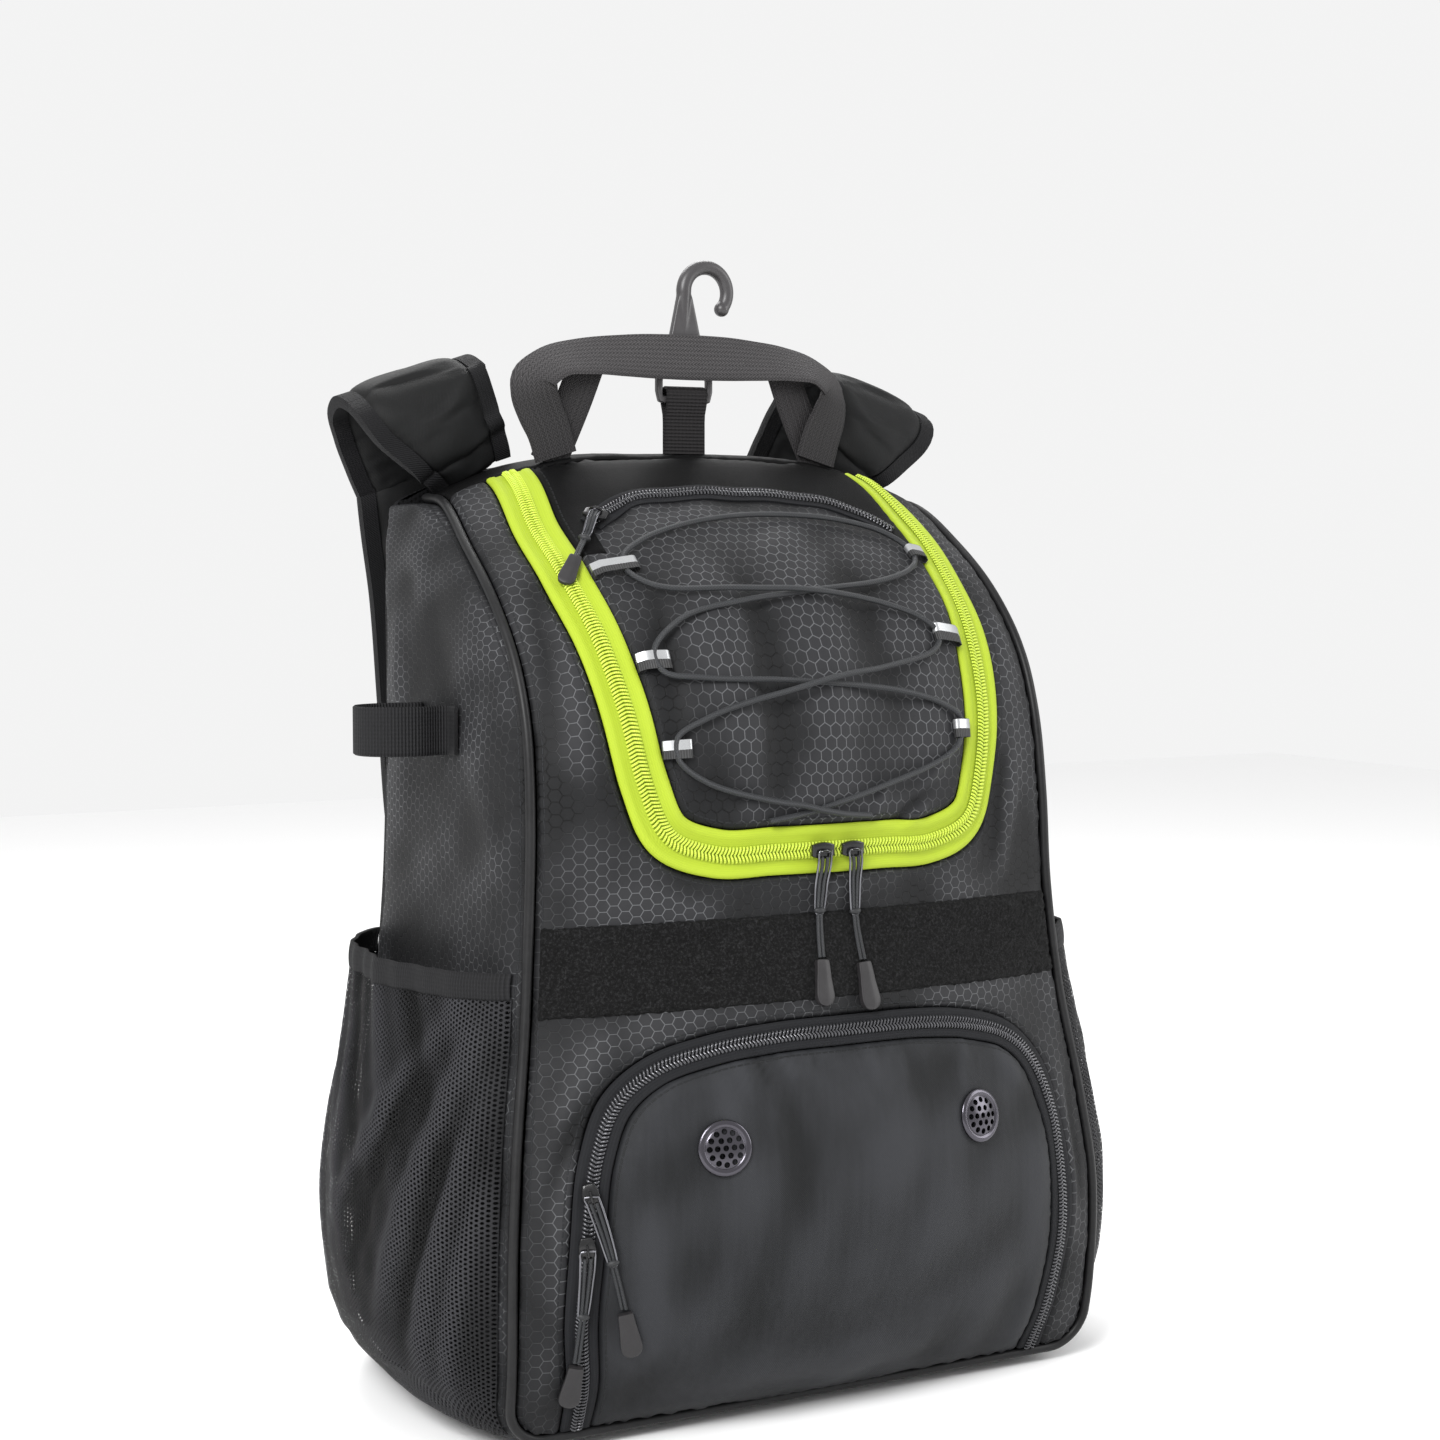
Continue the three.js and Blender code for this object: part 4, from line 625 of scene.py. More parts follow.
def silver():
    """A black ribbed ribbon with a bright reflective stripe along one side of its face."""
    finish = Finish("silver_ribbon")
    u, v = finish.uv()
    stripe = finish.step((u - 2.6).maths("ABSOLUTE"), 2.5, 2.3)
    rib = (v * 5).maths("SINE") * 0.5 + 0.5
    beads = finish.noise(3000, 2)
    bright = finish.mix(beads, rgb("8d8f91"), rgb("c9cacb"))
    colour = finish.mix(stripe, finish.mix(rib, rgb("060606"), rgb("2c2c2d")), bright)
    return finish.surface(colour, 0.60 - stripe * 0.26, rib * (1 - stripe) + beads * 0.1, 0.25,
                          Metallic=stripe * 0.75)


def pile():
    """Brushed loops: matt black with a fine tangle of lighter fibres."""
    finish = Finish("fuzzy_loop")
    tangle = finish.noise(700, 6, roughness=0.8)
    tufts = finish.noise(160, 3)
    colour = finish.mix(finish.step(tangle, 0.45, 0.72), rgb("050505"), rgb("2a2a2b"))
    return finish.surface(colour, 0.95, tangle * 0.7 + tufts * 0.6, 1.2, **{"Specular IOR Level": 0.2})


def netting(name, pitch, hole, open_alpha):
    """Knitted mesh: rounded holes in staggered rows, with its threads painted paler on the crests of its
    folds and darker in its hollows, as painted light and shade.
    """
    finish = Finish(name)
    u, v = finish.uv()
    relief, _ = finish.uv("fold")
    edge = hexagons(u, v, pitch)
    thread = finish.step(edge, hole, hole + 0.22)
    grain = finish.noise(1500, 2)
    cloud = finish.noise(12, 3)
    # Painted light and shade: near 1 on the crests of the relief and near 0 in its hollows, broken up by
    # random noise.
    painted_light = finish.step(relief + (cloud - 0.5) * 5, -1.5, 3.0)
    threads = finish.mix(painted_light, rgb("050506"), rgb("2e2e31"))
    colour = finish.mix(thread * 0.85 + grain * 0.15, rgb("010101"), threads)
    alpha = finish.step(thread, 0.05, 0.5) * (1 - open_alpha) + open_alpha
    return finish.surface(colour, 0.72, thread, 0.4, alpha, **{"Specular IOR Level": 0.2})


SILVER = silver()
PILE = pile()
POCKET_MESH = netting("open_mesh", 2.7, 0.46, 0.05)
AIR_MESH = netting("air_mesh", 3.2, 0.35, 1.0)
print("finishes:", len(bpy.data.materials))

# %% [markdown]
# ## Folds and hems
# Real cloth is never as smooth as a formula. Each panel gets a relief that is added along its
# normal: long soft folds drawn as segments, a gentle undulation, and puckers where the seam pulls
# the cloth in. The cloth also rolls down to its seam at every edge.

# %% Relief


def hem_map(line_sets, x, distance):
    """For each point of a panel: how far it is from the nearest seam, and how far along it."""
    seams = np.vstack(line_sets)
    run = np.concatenate([np.concatenate([[0], np.cumsum(np.linalg.norm(np.diff(line, axis=0), axis=1))])
                          for line in line_sets])
    points = np.stack([x.ravel(), distance.ravel()], -1)
    gap = np.linalg.norm(points[:, None] - seams[None], axis=2)
    nearest = gap.argmin(1)
    return np.stack([gap.min(1), run[nearest]], -1).reshape(*x.shape, 2)


def folds(x, distance, table):
    """Soft ridges and hollows: from (x0, s0) to (x1, s1), each with its width and its height."""
    relief = np.zeros_like(x)
    for x0, s0, x1, s1, width, height in table:
        axis = np.array([x1 - x0, s1 - s0], float)
        size = np.linalg.norm(axis)
        axis /= size
        dx, ds = x - x0, distance - s0
        t = np.clip((dx * axis[0] + ds * axis[1]) / size, 0, 1)
        gap = np.hypot(dx - t * size * axis[0], ds - t * size * axis[1])
        taper = np.sin(np.pi * np.clip(t, 0.02, 0.98)) ** 0.6
        relief += height * taper * np.exp(-(gap / width) ** 2)
    return relief


def undulation(x, distance, size, seed):
    waves = np.random.default_rng(seed)
    relief = np.zeros_like(x)
    for _ in range(7):
        turn, phase = waves.uniform(0, 2 * np.pi, 2)
        pitch = waves.uniform(28, 75)
        relief += np.sin((x * np.cos(turn) + distance * np.sin(turn)) * 2 * np.pi / pitch + phase)
    return relief * size / 7


FRONT_FOLDS = [
    (-120, 262, -60, 250, 9, 2.6), (-128, 243, -40, 232, 7, -2.0), (-150, 150, -118, 200, 6, 3.0),
    (-156, 118, -132, 172, 5, -2.4), (-152, 90, -140, 140, 5, 2.2), (-130, 300, -122, 380, 9, 2.4),
    (-144, 330, -128, 430, 7, -2.0), (60, 262, 128, 240, 9, 2.0), (88, 246, 150, 262, 7, -1.8),
    (104, 268, 118, 330, 5, -3.0), (112, 262, 128, 330, 6, 2.4), (128, 330, 136, 420, 8, 2.0),
    (-30, 268, 30, 262, 10, 1.4), (-100, 206, -20, 198, 7, 1.5), (40, 200, 130, 208, 8, 1.5),
    (-148, 60, -140, 112, 6, 2.0), (150, 60, 146, 140, 5, 2.2), (157, 80, 153, 160, 4, -1.8)]
FLAP_FOLDS = [
    (-48, 300, -50, 440, 12, 3.4), (-32, 296, -22, 420, 8, -3.2), (2, 300, 10, 440, 15, 3.0),
    (44, 320, 38, 440, 10, -2.2), (62, 310, 74, 400, 9, 2.4), (-84, 320, -74, 420, 6, -2.2),
    (-10, 420, 44, 456, 9, 2.2), (-60, 440, -20, 462, 8, 1.8), (-66, 304, 60, 300, 8, 1.5),
    (37, 292, 66, 312, 3.2, -2.6), (24, 294, 34, 314, 3.0, 2.2), (44, 292, 60, 300, 3.0, 2.4),
    (50, 300, 78, 330, 4.0, 1.8), (-76, 452, -64, 470, 5, -1.6), (-70, 300, -40, 312, 4, -1.8)]
SHOE_FOLDS = [
    (-40, 184, -34, 166, 2.4, 1.3), (-52, 184, -48, 164, 2.2, -1.3), (-62, 183, -60, 160, 2.6, 1.2),
    (-24, 184, -20, 168, 2.4, -1.0), (8, 184, 12, 162, 3, 1.0), (30, 184, 40, 150, 4, -1.0),
    (70, 182, 66, 152, 4, 1.0), (-72, 178, -66, 120, 6, 1.6), (-40, 170, -34, 96, 6, -1.3),
    (-112, 120, -108, 40, 8, 1.6), (112, 130, 118, 40, 8, 1.5), (-60, 30, 60, 22, 12, 1.8),
    (90, 176, 108, 150, 5, 1.4), (-20, 120, 50, 100, 22, 1.2)]


def puffs(x, distance):
    """The relief of the whole front. It fades out where the piping and the top seam hold the cloth."""
    x, distance = np.broadcast_arrays(np.asarray(x, float), np.asarray(distance, float))
    relief = folds(x, distance, FRONT_FOLDS + FLAP_FOLDS + SHOE_FOLDS) + undulation(x, distance, 1.5, 8)
    side = np.clip((along(distance, "width") - np.abs(x)) / 16, 0, 1)
    ends = np.clip(distance / 20, 0, 1) * np.clip((SEAM + 6 - distance) / 22, 0, 1)
    return relief * side * ends


def on_cloth(x, distance, lift=0.0):
    """A point that is raised off the relief of the front, and not off its plain surface."""
    return on_front(x, distance, puffs(x, distance) + lift)


def edge_roll(hem, drop=1.9, puffed=0.7):
    gap = hem[..., 0]
    pucker = 0.22 * np.sin(hem[..., 1] * 2 * np.pi / 8.5) * np.exp(-((gap - 4) / 5) ** 2)
    return -drop * np.exp(-(gap / 1.5) ** 2) + puffed * np.exp(-((gap - 9) / 6) ** 2) + pucker


# %% [markdown]
# ## Front panel
# One piece of honeycomb cloth goes round both zips like an H: the flap fills its upper notch and
# the shoe pocket its lower one. Its grid is laid between the zips' outer lines and the piping, so
# every edge of the cloth runs exactly along a seam.

# %% Front panel


def edge_x(distance):
    rise = np.maximum(CORNER - distance, 0)
    radius = CORNER - PIPING_SEAT
    rounded = radius - np.sqrt(np.maximum(radius**2 - rise**2, 0))
    return along(distance, "width") - PIPING_SEAT - np.where(rise > 0, rounded, 0)


def front_grid(side_cells=20, middle_rows=34):
    lower = SHOE_OUTER[TURN:][::-1][:-1]
    low, high = SHOE_OUTER[:TURN + 1], MAIN_OUTER[:TURN + 1]
    rows, filled = [], []
    for inner in lower:
        rows.append((inner, low))
        filled.append(False)
    for m in range(middle_rows + 1):
        middle = low + (high - low) * m / middle_rows
        rows.append((middle[TURN], middle))
        filled.append(m < middle_rows)
    for inner in MAIN_OUTER[TURN + 1:]:
        rows.append((inner, high))
        filled.append(False)
    share = np.linspace(0, 1, side_cells + 1)[:, None]
    grid = []
    for inner, middle in rows:
        edge = np.array([float(edge_x(inner[1])), inner[1]])
        half = np.vstack([middle[:-1], inner + (edge - inner) * share])
        grid.append(whole(half))
    grid = np.array(grid)
    columns = np.arange(grid.shape[1] - 1)
    beside = (columns < side_cells) | (columns >= grid.shape[1] - 1 - side_cells)
    return grid, beside[None, :] | np.array(filled)[:-1, None]


grid, keep = front_grid()
x, s = grid[..., 0], grid[..., 1]
rims = np.linspace(PIPING_SEAT, SEAM, 160)
side_line = np.stack([edge_x(rims), rims], -1)
hem = hem_map([whole(SHOE_OUTER), whole(MAIN_OUTER), side_line, side_line * (-1, 1)], x, s)
relief = puffs(x, s)
front_panel = cloth("front_panel_cloth", on_front(x, s, relief + edge_roll(hem)), grid, HEX_CLOTH,
                    ["front_panel"], keep, hem, relief)
print("front panel:", len(front_panel.data.polygons), "faces")

# %% [markdown]
# ## Flap and shoe pocket
# Both have one straight end and one end with round corners. The flap over the main opening is the
# fullest part of the bag and shows soft upright folds under its cord. The shoe pocket is a smoother
# cloth, gathered a little along the top of its arch.

# %% Flap and shoe pocket


def rounded_grid(half, last_row):
    end = half[:TURN + 1]
    side = half[TURN:][::-1]
    turn = end[TURN]
    shares = np.concatenate([-(end[1:, 0] / turn[0])[::-1], end[:, 0] / turn[0]])
    bend = np.concatenate([(end[1:, 1] - turn[1])[::-1], end[:, 1] - turn[1]])
    fade = (np.arange(len(side)) / (len(side) - 1))[:, None] ** 2
    start = side[:, 1].copy()
    start[0] = last_row
    return np.stack([shares[None] * side[:, :1], start[:, None] + bend[None] * fade], -1)


flap_grid = rounded_grid(MAIN_INNER, SEAM)
x, s = flap_grid[..., 0], flap_grid[..., 1]
top_edge = np.stack([np.linspace(-100, 100, 60), np.full(60, SEAM)], -1)
hem = hem_map([whole(MAIN_INNER), top_edge], x, s)
relief = puffs(x, s)
points = on_front(x, s, relief + edge_roll(hem))
cell_x, cell_s = (0.25 * (a[:-1, :-1] + a[1:, :-1] + a[:-1, 1:] + a[1:, 1:]) for a in (x, s))
above = cell_s > np.interp(cell_x, TOP_ZIP[:, 0], TOP_ZIP[:, 1], left=0.76 * LENGTH, right=0.765 * LENGTH)
flap = cloth("flap_cloth", points, flap_grid, FLAP_HEX_CLOTH, ["flap_panel"], ~above, hem, relief)
cloth("flap_top_cloth", points, flap_grid, TOP_CLOTH, (), above, hem, relief)

shoe_grid = rounded_grid(SHOE_INNER, PIPING_SEAT)
x, s = shoe_grid[..., 0], shoe_grid[..., 1]
base_edge = np.stack([np.linspace(-128, 128, 60), np.full(60, PIPING_SEAT)], -1)
hem = hem_map([whole(SHOE_INNER), base_edge], x, s)
relief = puffs(x, s)
shoe_pocket = cloth("shoe_pocket_cloth", on_front(x, s, relief + edge_roll(hem, 1.9, 1.2)), shoe_grid,
                    SMOOTH_CLOTH, ["shoe_pocket_panel"], None, hem, relief)

rows, columns = 30, 60
up = np.linspace(SEAM + 0.5, LENGTH, rows)[:, None]
u = np.linspace(-1, 1, columns)[None]
s = np.broadcast_to(up, (rows, columns))
x = u * (along(s, "width") - PIPING_SEAT)
hem = hem_map([top_edge, side_line], x, s)
hem[..., 0] = np.minimum(s - SEAM, LENGTH - s)
relief = undulation(x, s, 0.8, 2) + edge_roll(hem, 1.5, 0.5)
cloth("top_cloth", on_front(x, s, relief), np.stack([x, s], -1), TOP_CLOTH, ["top_panel"], None, hem)
print("flap:", len(flap.data.polygons), "shoe pocket:", len(shoe_pocket.data.polygons))

# %% [markdown]
# ## Sides, base and piping
# One long strip of cloth runs down one side, under the base and up the other side. Its stations
# follow the front seam, and each goes straight back to the back seam. The piping covers the front
# seam as one cord of shiny vinyl.

# %% Sides and base


def seam_stations(side_steps=120, corner_steps=12, base_steps=40):
    flat = np.linspace(0, 1, base_steps + 1) * (float(along(0, "width")) - CORNER)
    turns = np.pi / 2 * np.arange(1, corner_steps + 1) / corner_steps
    rise = CORNER * (1 - np.cos(turns))
    up = CORNER + (0.972 * LENGTH - CORNER) * np.arange(1, side_steps + 1) / side_steps
    x = np.concatenate([flat, along(rise, "width") - CORNER * (1 - np.sin(turns)), along(up, "width")])
    distance = np.concatenate([flat * 0, rise, up])
    turn = np.concatenate([flat * 0, turns, up * 0 + np.pi / 2])
    point = np.stack([x, along(distance, "y"), along(distance, "z")], -1)
    out = np.stack([np.sin(turn), 0 * turn, -np.cos(turn)], -1)
    return point, out, profile_normal(distance)


def side_point(point, out, normal, v, lift=0.0, plateau=None):
    """A point of the sides: v runs from the front seam (0) to the back seam (1)."""
    start = point - normal * PIPING_SEAT
    back = start.copy()
    back[..., 1] = BACK_SEAM - 0.2
    full = 1 - np.abs(2 * v - 1) ** 8 if plateau is None else plateau
    crown = 8 * full * np.clip((back[..., 1] - start[..., 1]) / 40, None, 1)
    level = np.where(out[..., 2] < -0.999, BASE_SEAM - start[..., 2], 0)
    place = start + (back - start) * v[..., None] + out * (crown + lift)[..., None]
    place[..., 2] += level
    return place


point, out, normal = seam_stations()
columns = np.linspace(0, 1, 50)
v = np.broadcast_to(columns[None], (len(point), 50))
wide = [np.repeat(a[:, None], 50, 1) for a in (point, out, normal)]
flat_y = side_point(*wide, v)[..., 1]
run = np.concatenate([[0], np.cumsum(np.linalg.norm(np.diff(point, axis=0), axis=1))])
run_grid = np.broadcast_to(run[:, None], v.shape)
on_base = np.clip((run_grid - 150) / 20, 0, 1)
SIDE_FOLDS = [
    (-60, 560, -44, 690, 9, 2.4), (-78, 520, -72, 640, 7, -1.8), (20, 560, 40, 640, 12, 2.0),
    (-20, 480, 30, 600, 13, -1.8), (60, 470, 66, 580, 9, 1.8), (-70, 430, -30, 500, 10, 1.6)]
gap = np.minimum(flat_y - flat_y[:, :1], flat_y[:, -1:] - flat_y)
hem = np.stack([gap, run_grid], -1)
relief = (folds(flat_y, run_grid, SIDE_FOLDS) + undulation(flat_y, run_grid, 1.6, 11)
          + edge_roll(hem, 0.8, 0.6))
half = side_point(*wide, v, relief * on_base)
half[..., 2] = np.maximum(half[..., 2], 0.0)
other = half[::-1][:-1] * (-1, 1, 1)
uv = np.stack([flat_y, run_grid], -1)
sides = cloth("side_cloth", np.concatenate([other, half]),
              np.concatenate([uv[::-1][:-1] * (1, -1), uv]), HEX_CLOTH, ["gusset"], None,
              np.concatenate([hem[::-1][:-1], hem]), np.concatenate([relief[::-1][:-1], relief]))
seam_path = np.concatenate([point[::-1][:-1] * (-1, 1, 1), point])
tubes("piping_cord", seam_path, 2.5, VINYL, ["piping"], sides=12)
print("sides:", len(sides.data.polygons), "faces")

# %% [markdown]
# ## Back panel
# The back is a foam pad under air mesh, quilted into three upright pads by two channels. It is a
# closed crowned form.

# %% Back panel


def back_pad(rows=64, columns=56):
    foot, inner = BASE_SEAM - 1, BACK_SEAM + 0.2
    top_z = HEIGHT - 0.3
    t = (1 - np.cos(np.linspace(0, np.pi, rows))) / 2
    u = np.sin(np.linspace(-np.pi / 2, np.pi / 2, columns))
    ladder = np.linspace(0, LENGTH, 400)
    flat = foot + (top_z - foot) * t
    width = np.interp(flat, along(ladder, "z"), along(ladder, "width"))
    radius = CORNER + 1
    rise = np.maximum(radius - (flat - foot), 0)
    width = width + 1 - np.where(rise > 0, radius - np.sqrt(np.maximum(radius**2 - rise**2, 0)), 0)
    crest = float(along(LENGTH, "crown")) * (1 - np.abs(u) ** float(along(LENGTH, "power")))
    x = u[None] * width[:, None]
    z = flat[:, None] + crest[None] * t[:, None] ** 6
    near = np.minimum(np.minimum(1 - np.abs(u)[None], 1) * width[:, None],
                      np.minimum(z - foot, top_z + crest[None] - z))
    lift = 4 + 7 * (1 - np.exp(-(near / 9) ** 1.4))
    for channel in (-62, 62):
        lift = lift - 4.5 * np.exp(-((x - channel) / 4) ** 2) * (near > 6) * np.clip((near - 6) / 12, 0, 1)
    for level in (150, 300):
        inside = np.clip((62 - np.abs(x)) / 6, 0, 1)
        lift = lift - 3.5 * np.exp(-((z - level) / 4) ** 2) * inside
    outer = np.stack([x, inner + lift, z], -1)
    under = np.stack([x, np.full_like(x, inner), z], -1)
    return outer, under


outer, under = back_pad()
rows, columns = outer.shape[:2]
uv = np.stack([outer[..., 0], outer[..., 2]], -1)
faces = grid_faces(rows, columns).tolist()
back = [[k + rows * columns for k in f[::-1]] for f in faces]
ring = ([(0, j) for j in range(columns)] + [(i, columns - 1) for i in range(1, rows)]
        + [(rows - 1, j) for j in range(columns - 2, -1, -1)] + [(i, 0) for i in range(rows - 2, 0, -1)])
rim = [i * columns + j for i, j in ring]
walls = [[rim[k], rim[(k + 1) % len(rim)], rim[(k + 1) % len(rim)] + rows * columns, rim[k] + rows * columns]
         for k in range(len(rim))]
back_piece = build("back_pad", np.concatenate([outer, under]), faces + back + walls,
                   {"cloth": np.concatenate([uv, uv])}, AIR_MESH, ["back_panel"])
fix_normals(back_piece)
print("back pad:", len(back_piece.data.polygons), "faces")

# %% [markdown]
# ## Zips
# A zip is two woven tapes with a coil between them. The tape's section is drawn once, with a
# raised edge where it is folded and sewn, and swept along the zip's line. Each coil link is a short
# bent bar laid across the line, copied every couple of millimetres.

# %% Zips


def sweep(name, line, section, material, nodes):
    """A band on the front: its section is (aside, lift) pairs round a closed outline."""
    rings = np.stack([on_cloth(*offset(line, aside).T, lift) for aside, lift in section], 1)
    piece = loft(name, rings, material, nodes, angle=60)
    uv = np.stack(np.broadcast_arrays(np.array([a for a, _ in section])[None],
                                      np.arange(len(line))[:, None] * 1.0), -1).copy()
    centre = on_front(line[:, 0], line[:, 1])
    run = np.concatenate([[0], np.cumsum(np.linalg.norm(np.diff(centre, axis=0), axis=1))])
    uv[..., 1] = run[:, None]
    corner = np.empty(len(piece.data.loops), int)
    piece.data.loops.foreach_get("vertex_index", corner)
    piece.data.uv_layers["cloth"].data.foreach_set("uv", (uv.reshape(-1, 2)[corner] * MM).ravel())
    return piece


def tape_section(width, top, ridge=0.5, thick=1.2):
    half = width / 2
    if half < 7:
        return [(half, top - 0.3), (half - 1, top), (3.2, top), (2.8, top - 0.3), (-2.8, top - 0.3),
                (-3.2, top), (1 - half, top), (-half, top - 0.3), (-half, top - thick), (half, top - thick)]
    upper = [(half, top - 0.4), (half - 0.6, top + ridge * 0.6), (half - 2.2, top + ridge),
             (half - 4.4, top + ridge * 0.7), (half - 5.2, top), (4.2, top + 0.1), (3.6, top - 0.1),
             (0, top - 0.2), (-3.6, top - 0.1), (-4.2, top + 0.1), (5.2 - half, top),
             (4.4 - half, top + ridge * 0.7), (2.2 - half, top + ridge), (0.6 - half, top + ridge * 0.6),
             (-half, top - 0.4)]
    return upper + [(-half, top - thick), (half, top - thick)]


def coil(name, line, pitch, half, radius, lift, material, nodes):
    """Coil links across a zip, each bent up in the middle and leaning a little along it."""
    fine = evenly(line, pitch)
    x, s = fine[:, 0], fine[:, 1]
    centre, normal = on_cloth(x, s), front_normal(x, s)
    tangent = unit(np.gradient(centre, axis=0))
    aside = np.cross(tangent, normal)
    bend = np.array([(-1, -0.3, 0.75), (-0.78, 0.85, 0.4), (-0.32, 0.8, -0.2), (0, -0.1, -0.55),
                     (0.32, 0.8, -0.2), (0.78, 0.85, 0.4), (1, -0.3, 0.75)])
    paths = (centre[:, None] + aside[:, None] * (bend[:, 0] * half)[None, :, None]
             + normal[:, None] * (lift + bend[:, 1] * radius * 1.6)[None, :, None]
             + tangent[:, None] * (bend[:, 2] * pitch * 0.5)[None, :, None])
    normals = np.broadcast_to(tangent[:, None], paths.shape)
    return tubes(name, paths, radius, material, nodes, normals, sides=6)


MAIN_PITCH = 1.9
SHOE_PITCH = 2.0
TOP_PITCH = 2.1
main_zip = whole(end_on(MAIN_HALF, SEAM - 0.3))
shoe_zip = whole(end_on(SHOE_HALF, PIPING_SEAT + 0.3))
sweep("main_tape", main_zip, tape_section(MAIN_TAPE - 0.6, -0.3, ridge=0.9), LIME_TAPE, ["main_zip_tape"])
coil("main_coil", main_zip, MAIN_PITCH, 3.7, 0.62, 0.5, LIME_TEETH, ["main_zip_coil"])
sweep("shoe_tape", shoe_zip, tape_section(BLACK_TAPE - 0.6, -0.4, ridge=0.5), BLACK_TAPE_CLOTH,
      ["shoe_zip_tape"])
coil("shoe_coil", shoe_zip, SHOE_PITCH, 2.9, 0.56, 0.4, BLACK_TEETH, ["shoe_zip_coil"])
sweep("top_tape", TOP_ZIP, tape_section(12.5, 1.4), BLACK_TAPE_CLOTH, ["top_zip_tape"])
coil("top_coil", TOP_ZIP, TOP_PITCH, 2.3, 0.6, 2.0, BLACK_TEETH, ["top_zip_coil"])
print("coil links:", [len(evenly(line, pitch)) for line, pitch in (
    (main_zip, MAIN_PITCH), (shoe_zip, SHOE_PITCH), (TOP_ZIP, TOP_PITCH))])

# %% [markdown]
# ## Fuzzy strip
# Loop pile is a thick felt of tiny loops. A grid with a fine random height gives its broken outline
# and its finish gives the tangle.

# %% Fuzzy strip
rows, columns = 34, 190
low, high = 0.361 * LENGTH, 0.438 * LENGTH
t = np.linspace(0, 1, rows)[:, None]
u = np.linspace(-1, 1, columns)[None]
s = np.broadcast_to(low + (high - low) * t, (rows, columns))
x = u * along(s, "width") * 0.965
tufts = np.random.default_rng(21)
edge = np.minimum(np.minimum(t, 1 - t) * (high - low), (1 - np.abs(u)) * 160)
lift = 2.3 + tufts.normal(0, 0.28, s.shape) - 1.9 * np.exp(-edge / 1.2)
x = x + tufts.normal(0, 0.18, s.shape)
s = s + tufts.normal(0, 0.22, s.shape)
cloth("fuzzy_loops", on_cloth(x, s, lift), np.stack([x, s], -1), PILE, ["fuzzy_strip"], wall=1.4)
print("fuzzy strip:", round(float(high - low)), "mm high")

# %% [markdown]
# ## Laced cord and ribbon loops
# An elastic cord zigzags over the flap through six folded ribbons. It is held all along, so it is a
# fixed tube here. Each ribbon is a flat strip bent round the cord, bright on its face.

# %% Cord and ribbons


def bridged(line, reach):
    """The cloth's relief under a taut line, which spans the hollows and touches the crests."""
    relief = puffs(line[:, 0], line[:, 1])
    for width in (reach, reach // 3):
        padded = np.pad(relief, width // 2, mode="edge")
        relief = np.maximum(relief, np.convolve(padded, np.ones(width) / width, "valid")[:len(relief)])
    padded = np.pad(relief, 5, mode="edge")
    return np.convolve(padded, np.ones(11) / 11, "valid")


CORD_ROUTE = np.array([
    (-37, 0.521, 0), (-22, 0.5245, 0), (-7, 0.529, 0), (29, 0.545, 0), (69, 0.566, 0), (80, 0.578, 0),
    (82, 0.596, 0), (71, 0.606, 0), (47, 0.615, 0), (-13, 0.624, 0), (-66, 0.631, 0), (-84, 0.639, 0),
    (-86, 0.655, 0), (-68, 0.677, 0), (-33, 0.687, 0), (3, 0.694, 0), (51, 0.707, 0), (80, 0.727, 0),
    (91, 0.745, 0), (91, 0.762, 0), (80, 0.778, 0), (60, 0.786, 0), (32, 0.789, 0), (-6, 0.787, 0),
    (-44, 0.775, 0), (-70, 0.761, 0), (-83, 0.746, 0), (-84, 0.728, 0), (-72, 0.707, 0.1),
    (-36, 0.696, 0.8), (-6, 0.6925, 1), (20, 0.689, 0.8), (50, 0.685, 0.1), (72, 0.674, 0),
    (80, 0.662, 0), (74, 0.649, 0), (37, 0.633, 0.2), (14, 0.627, 0.8), (-3, 0.6225, 1),
    (-22, 0.617, 0.8), (-44, 0.611, 0.2), (-66, 0.602, 0), (-82, 0.589, 0), (-82, 0.573, 0),
    (-68, 0.554, 0), (-38, 0.538, 0.3), (-20, 0.532, 0.9), (-9, 0.5277, 1), (4, 0.524, 0.8),
    (20, 0.5215, 0.1)])
CORD = 1.5
CORD_LIFT = 0.35 + 0.6 + 0.3 + CORD
route = smooth(CORD_ROUTE * (1, LENGTH, 2 * CORD + 0.6) + (0, 0, CORD_LIFT), 7)

path = on_front(route[:, 0], route[:, 1], route[:, 2] + bridged(route, 45))
tubes("laced_elastic", path, CORD, CORD_BRAID, ["laced_cord"], front_normal(route[:, 0], route[:, 1]), 10)


def ribbon_loop(name, side, share, reach, node):
    distance = share * LENGTH
    line = MAIN_INNER[TURN:]
    root = np.interp(distance, line[:, 1], line[:, 0]) - 0.3
    top = CORD_LIFT + CORD + 0.9
    middle, round_half = (top + 0.35) / 2, (top - 0.35) / 2
    outline = [(root, 0.35), (root, 0.35 + round_half), (root - reach * 0.2, top * 0.93),
               (root - reach * 0.45, top)]
    for angle in np.linspace(np.pi / 2, 3 * np.pi / 2, 9):
        outline.append((root - reach + round_half * (1 + np.cos(angle)), middle + round_half * np.sin(angle)))
    outline.append((root - reach * 0.4, 0.35))
    outline = np.array(outline)
    inward = unit(np.array([outline[:, 0].mean(), outline[:, 1].mean()]) - outline) * 0.6
    rings = []
    for (a, lift), (da, dl) in zip(outline, inward):
        corners = [(a, lift, 4), (a, lift, -4), (a + da, lift + dl, -4), (a + da, lift + dl, 4)]
        rings.append([on_cloth(side * p, distance + w, q) for p, q, w in corners])
    return loft(name, rings, SILVER, [node], closed=True, angle=50)


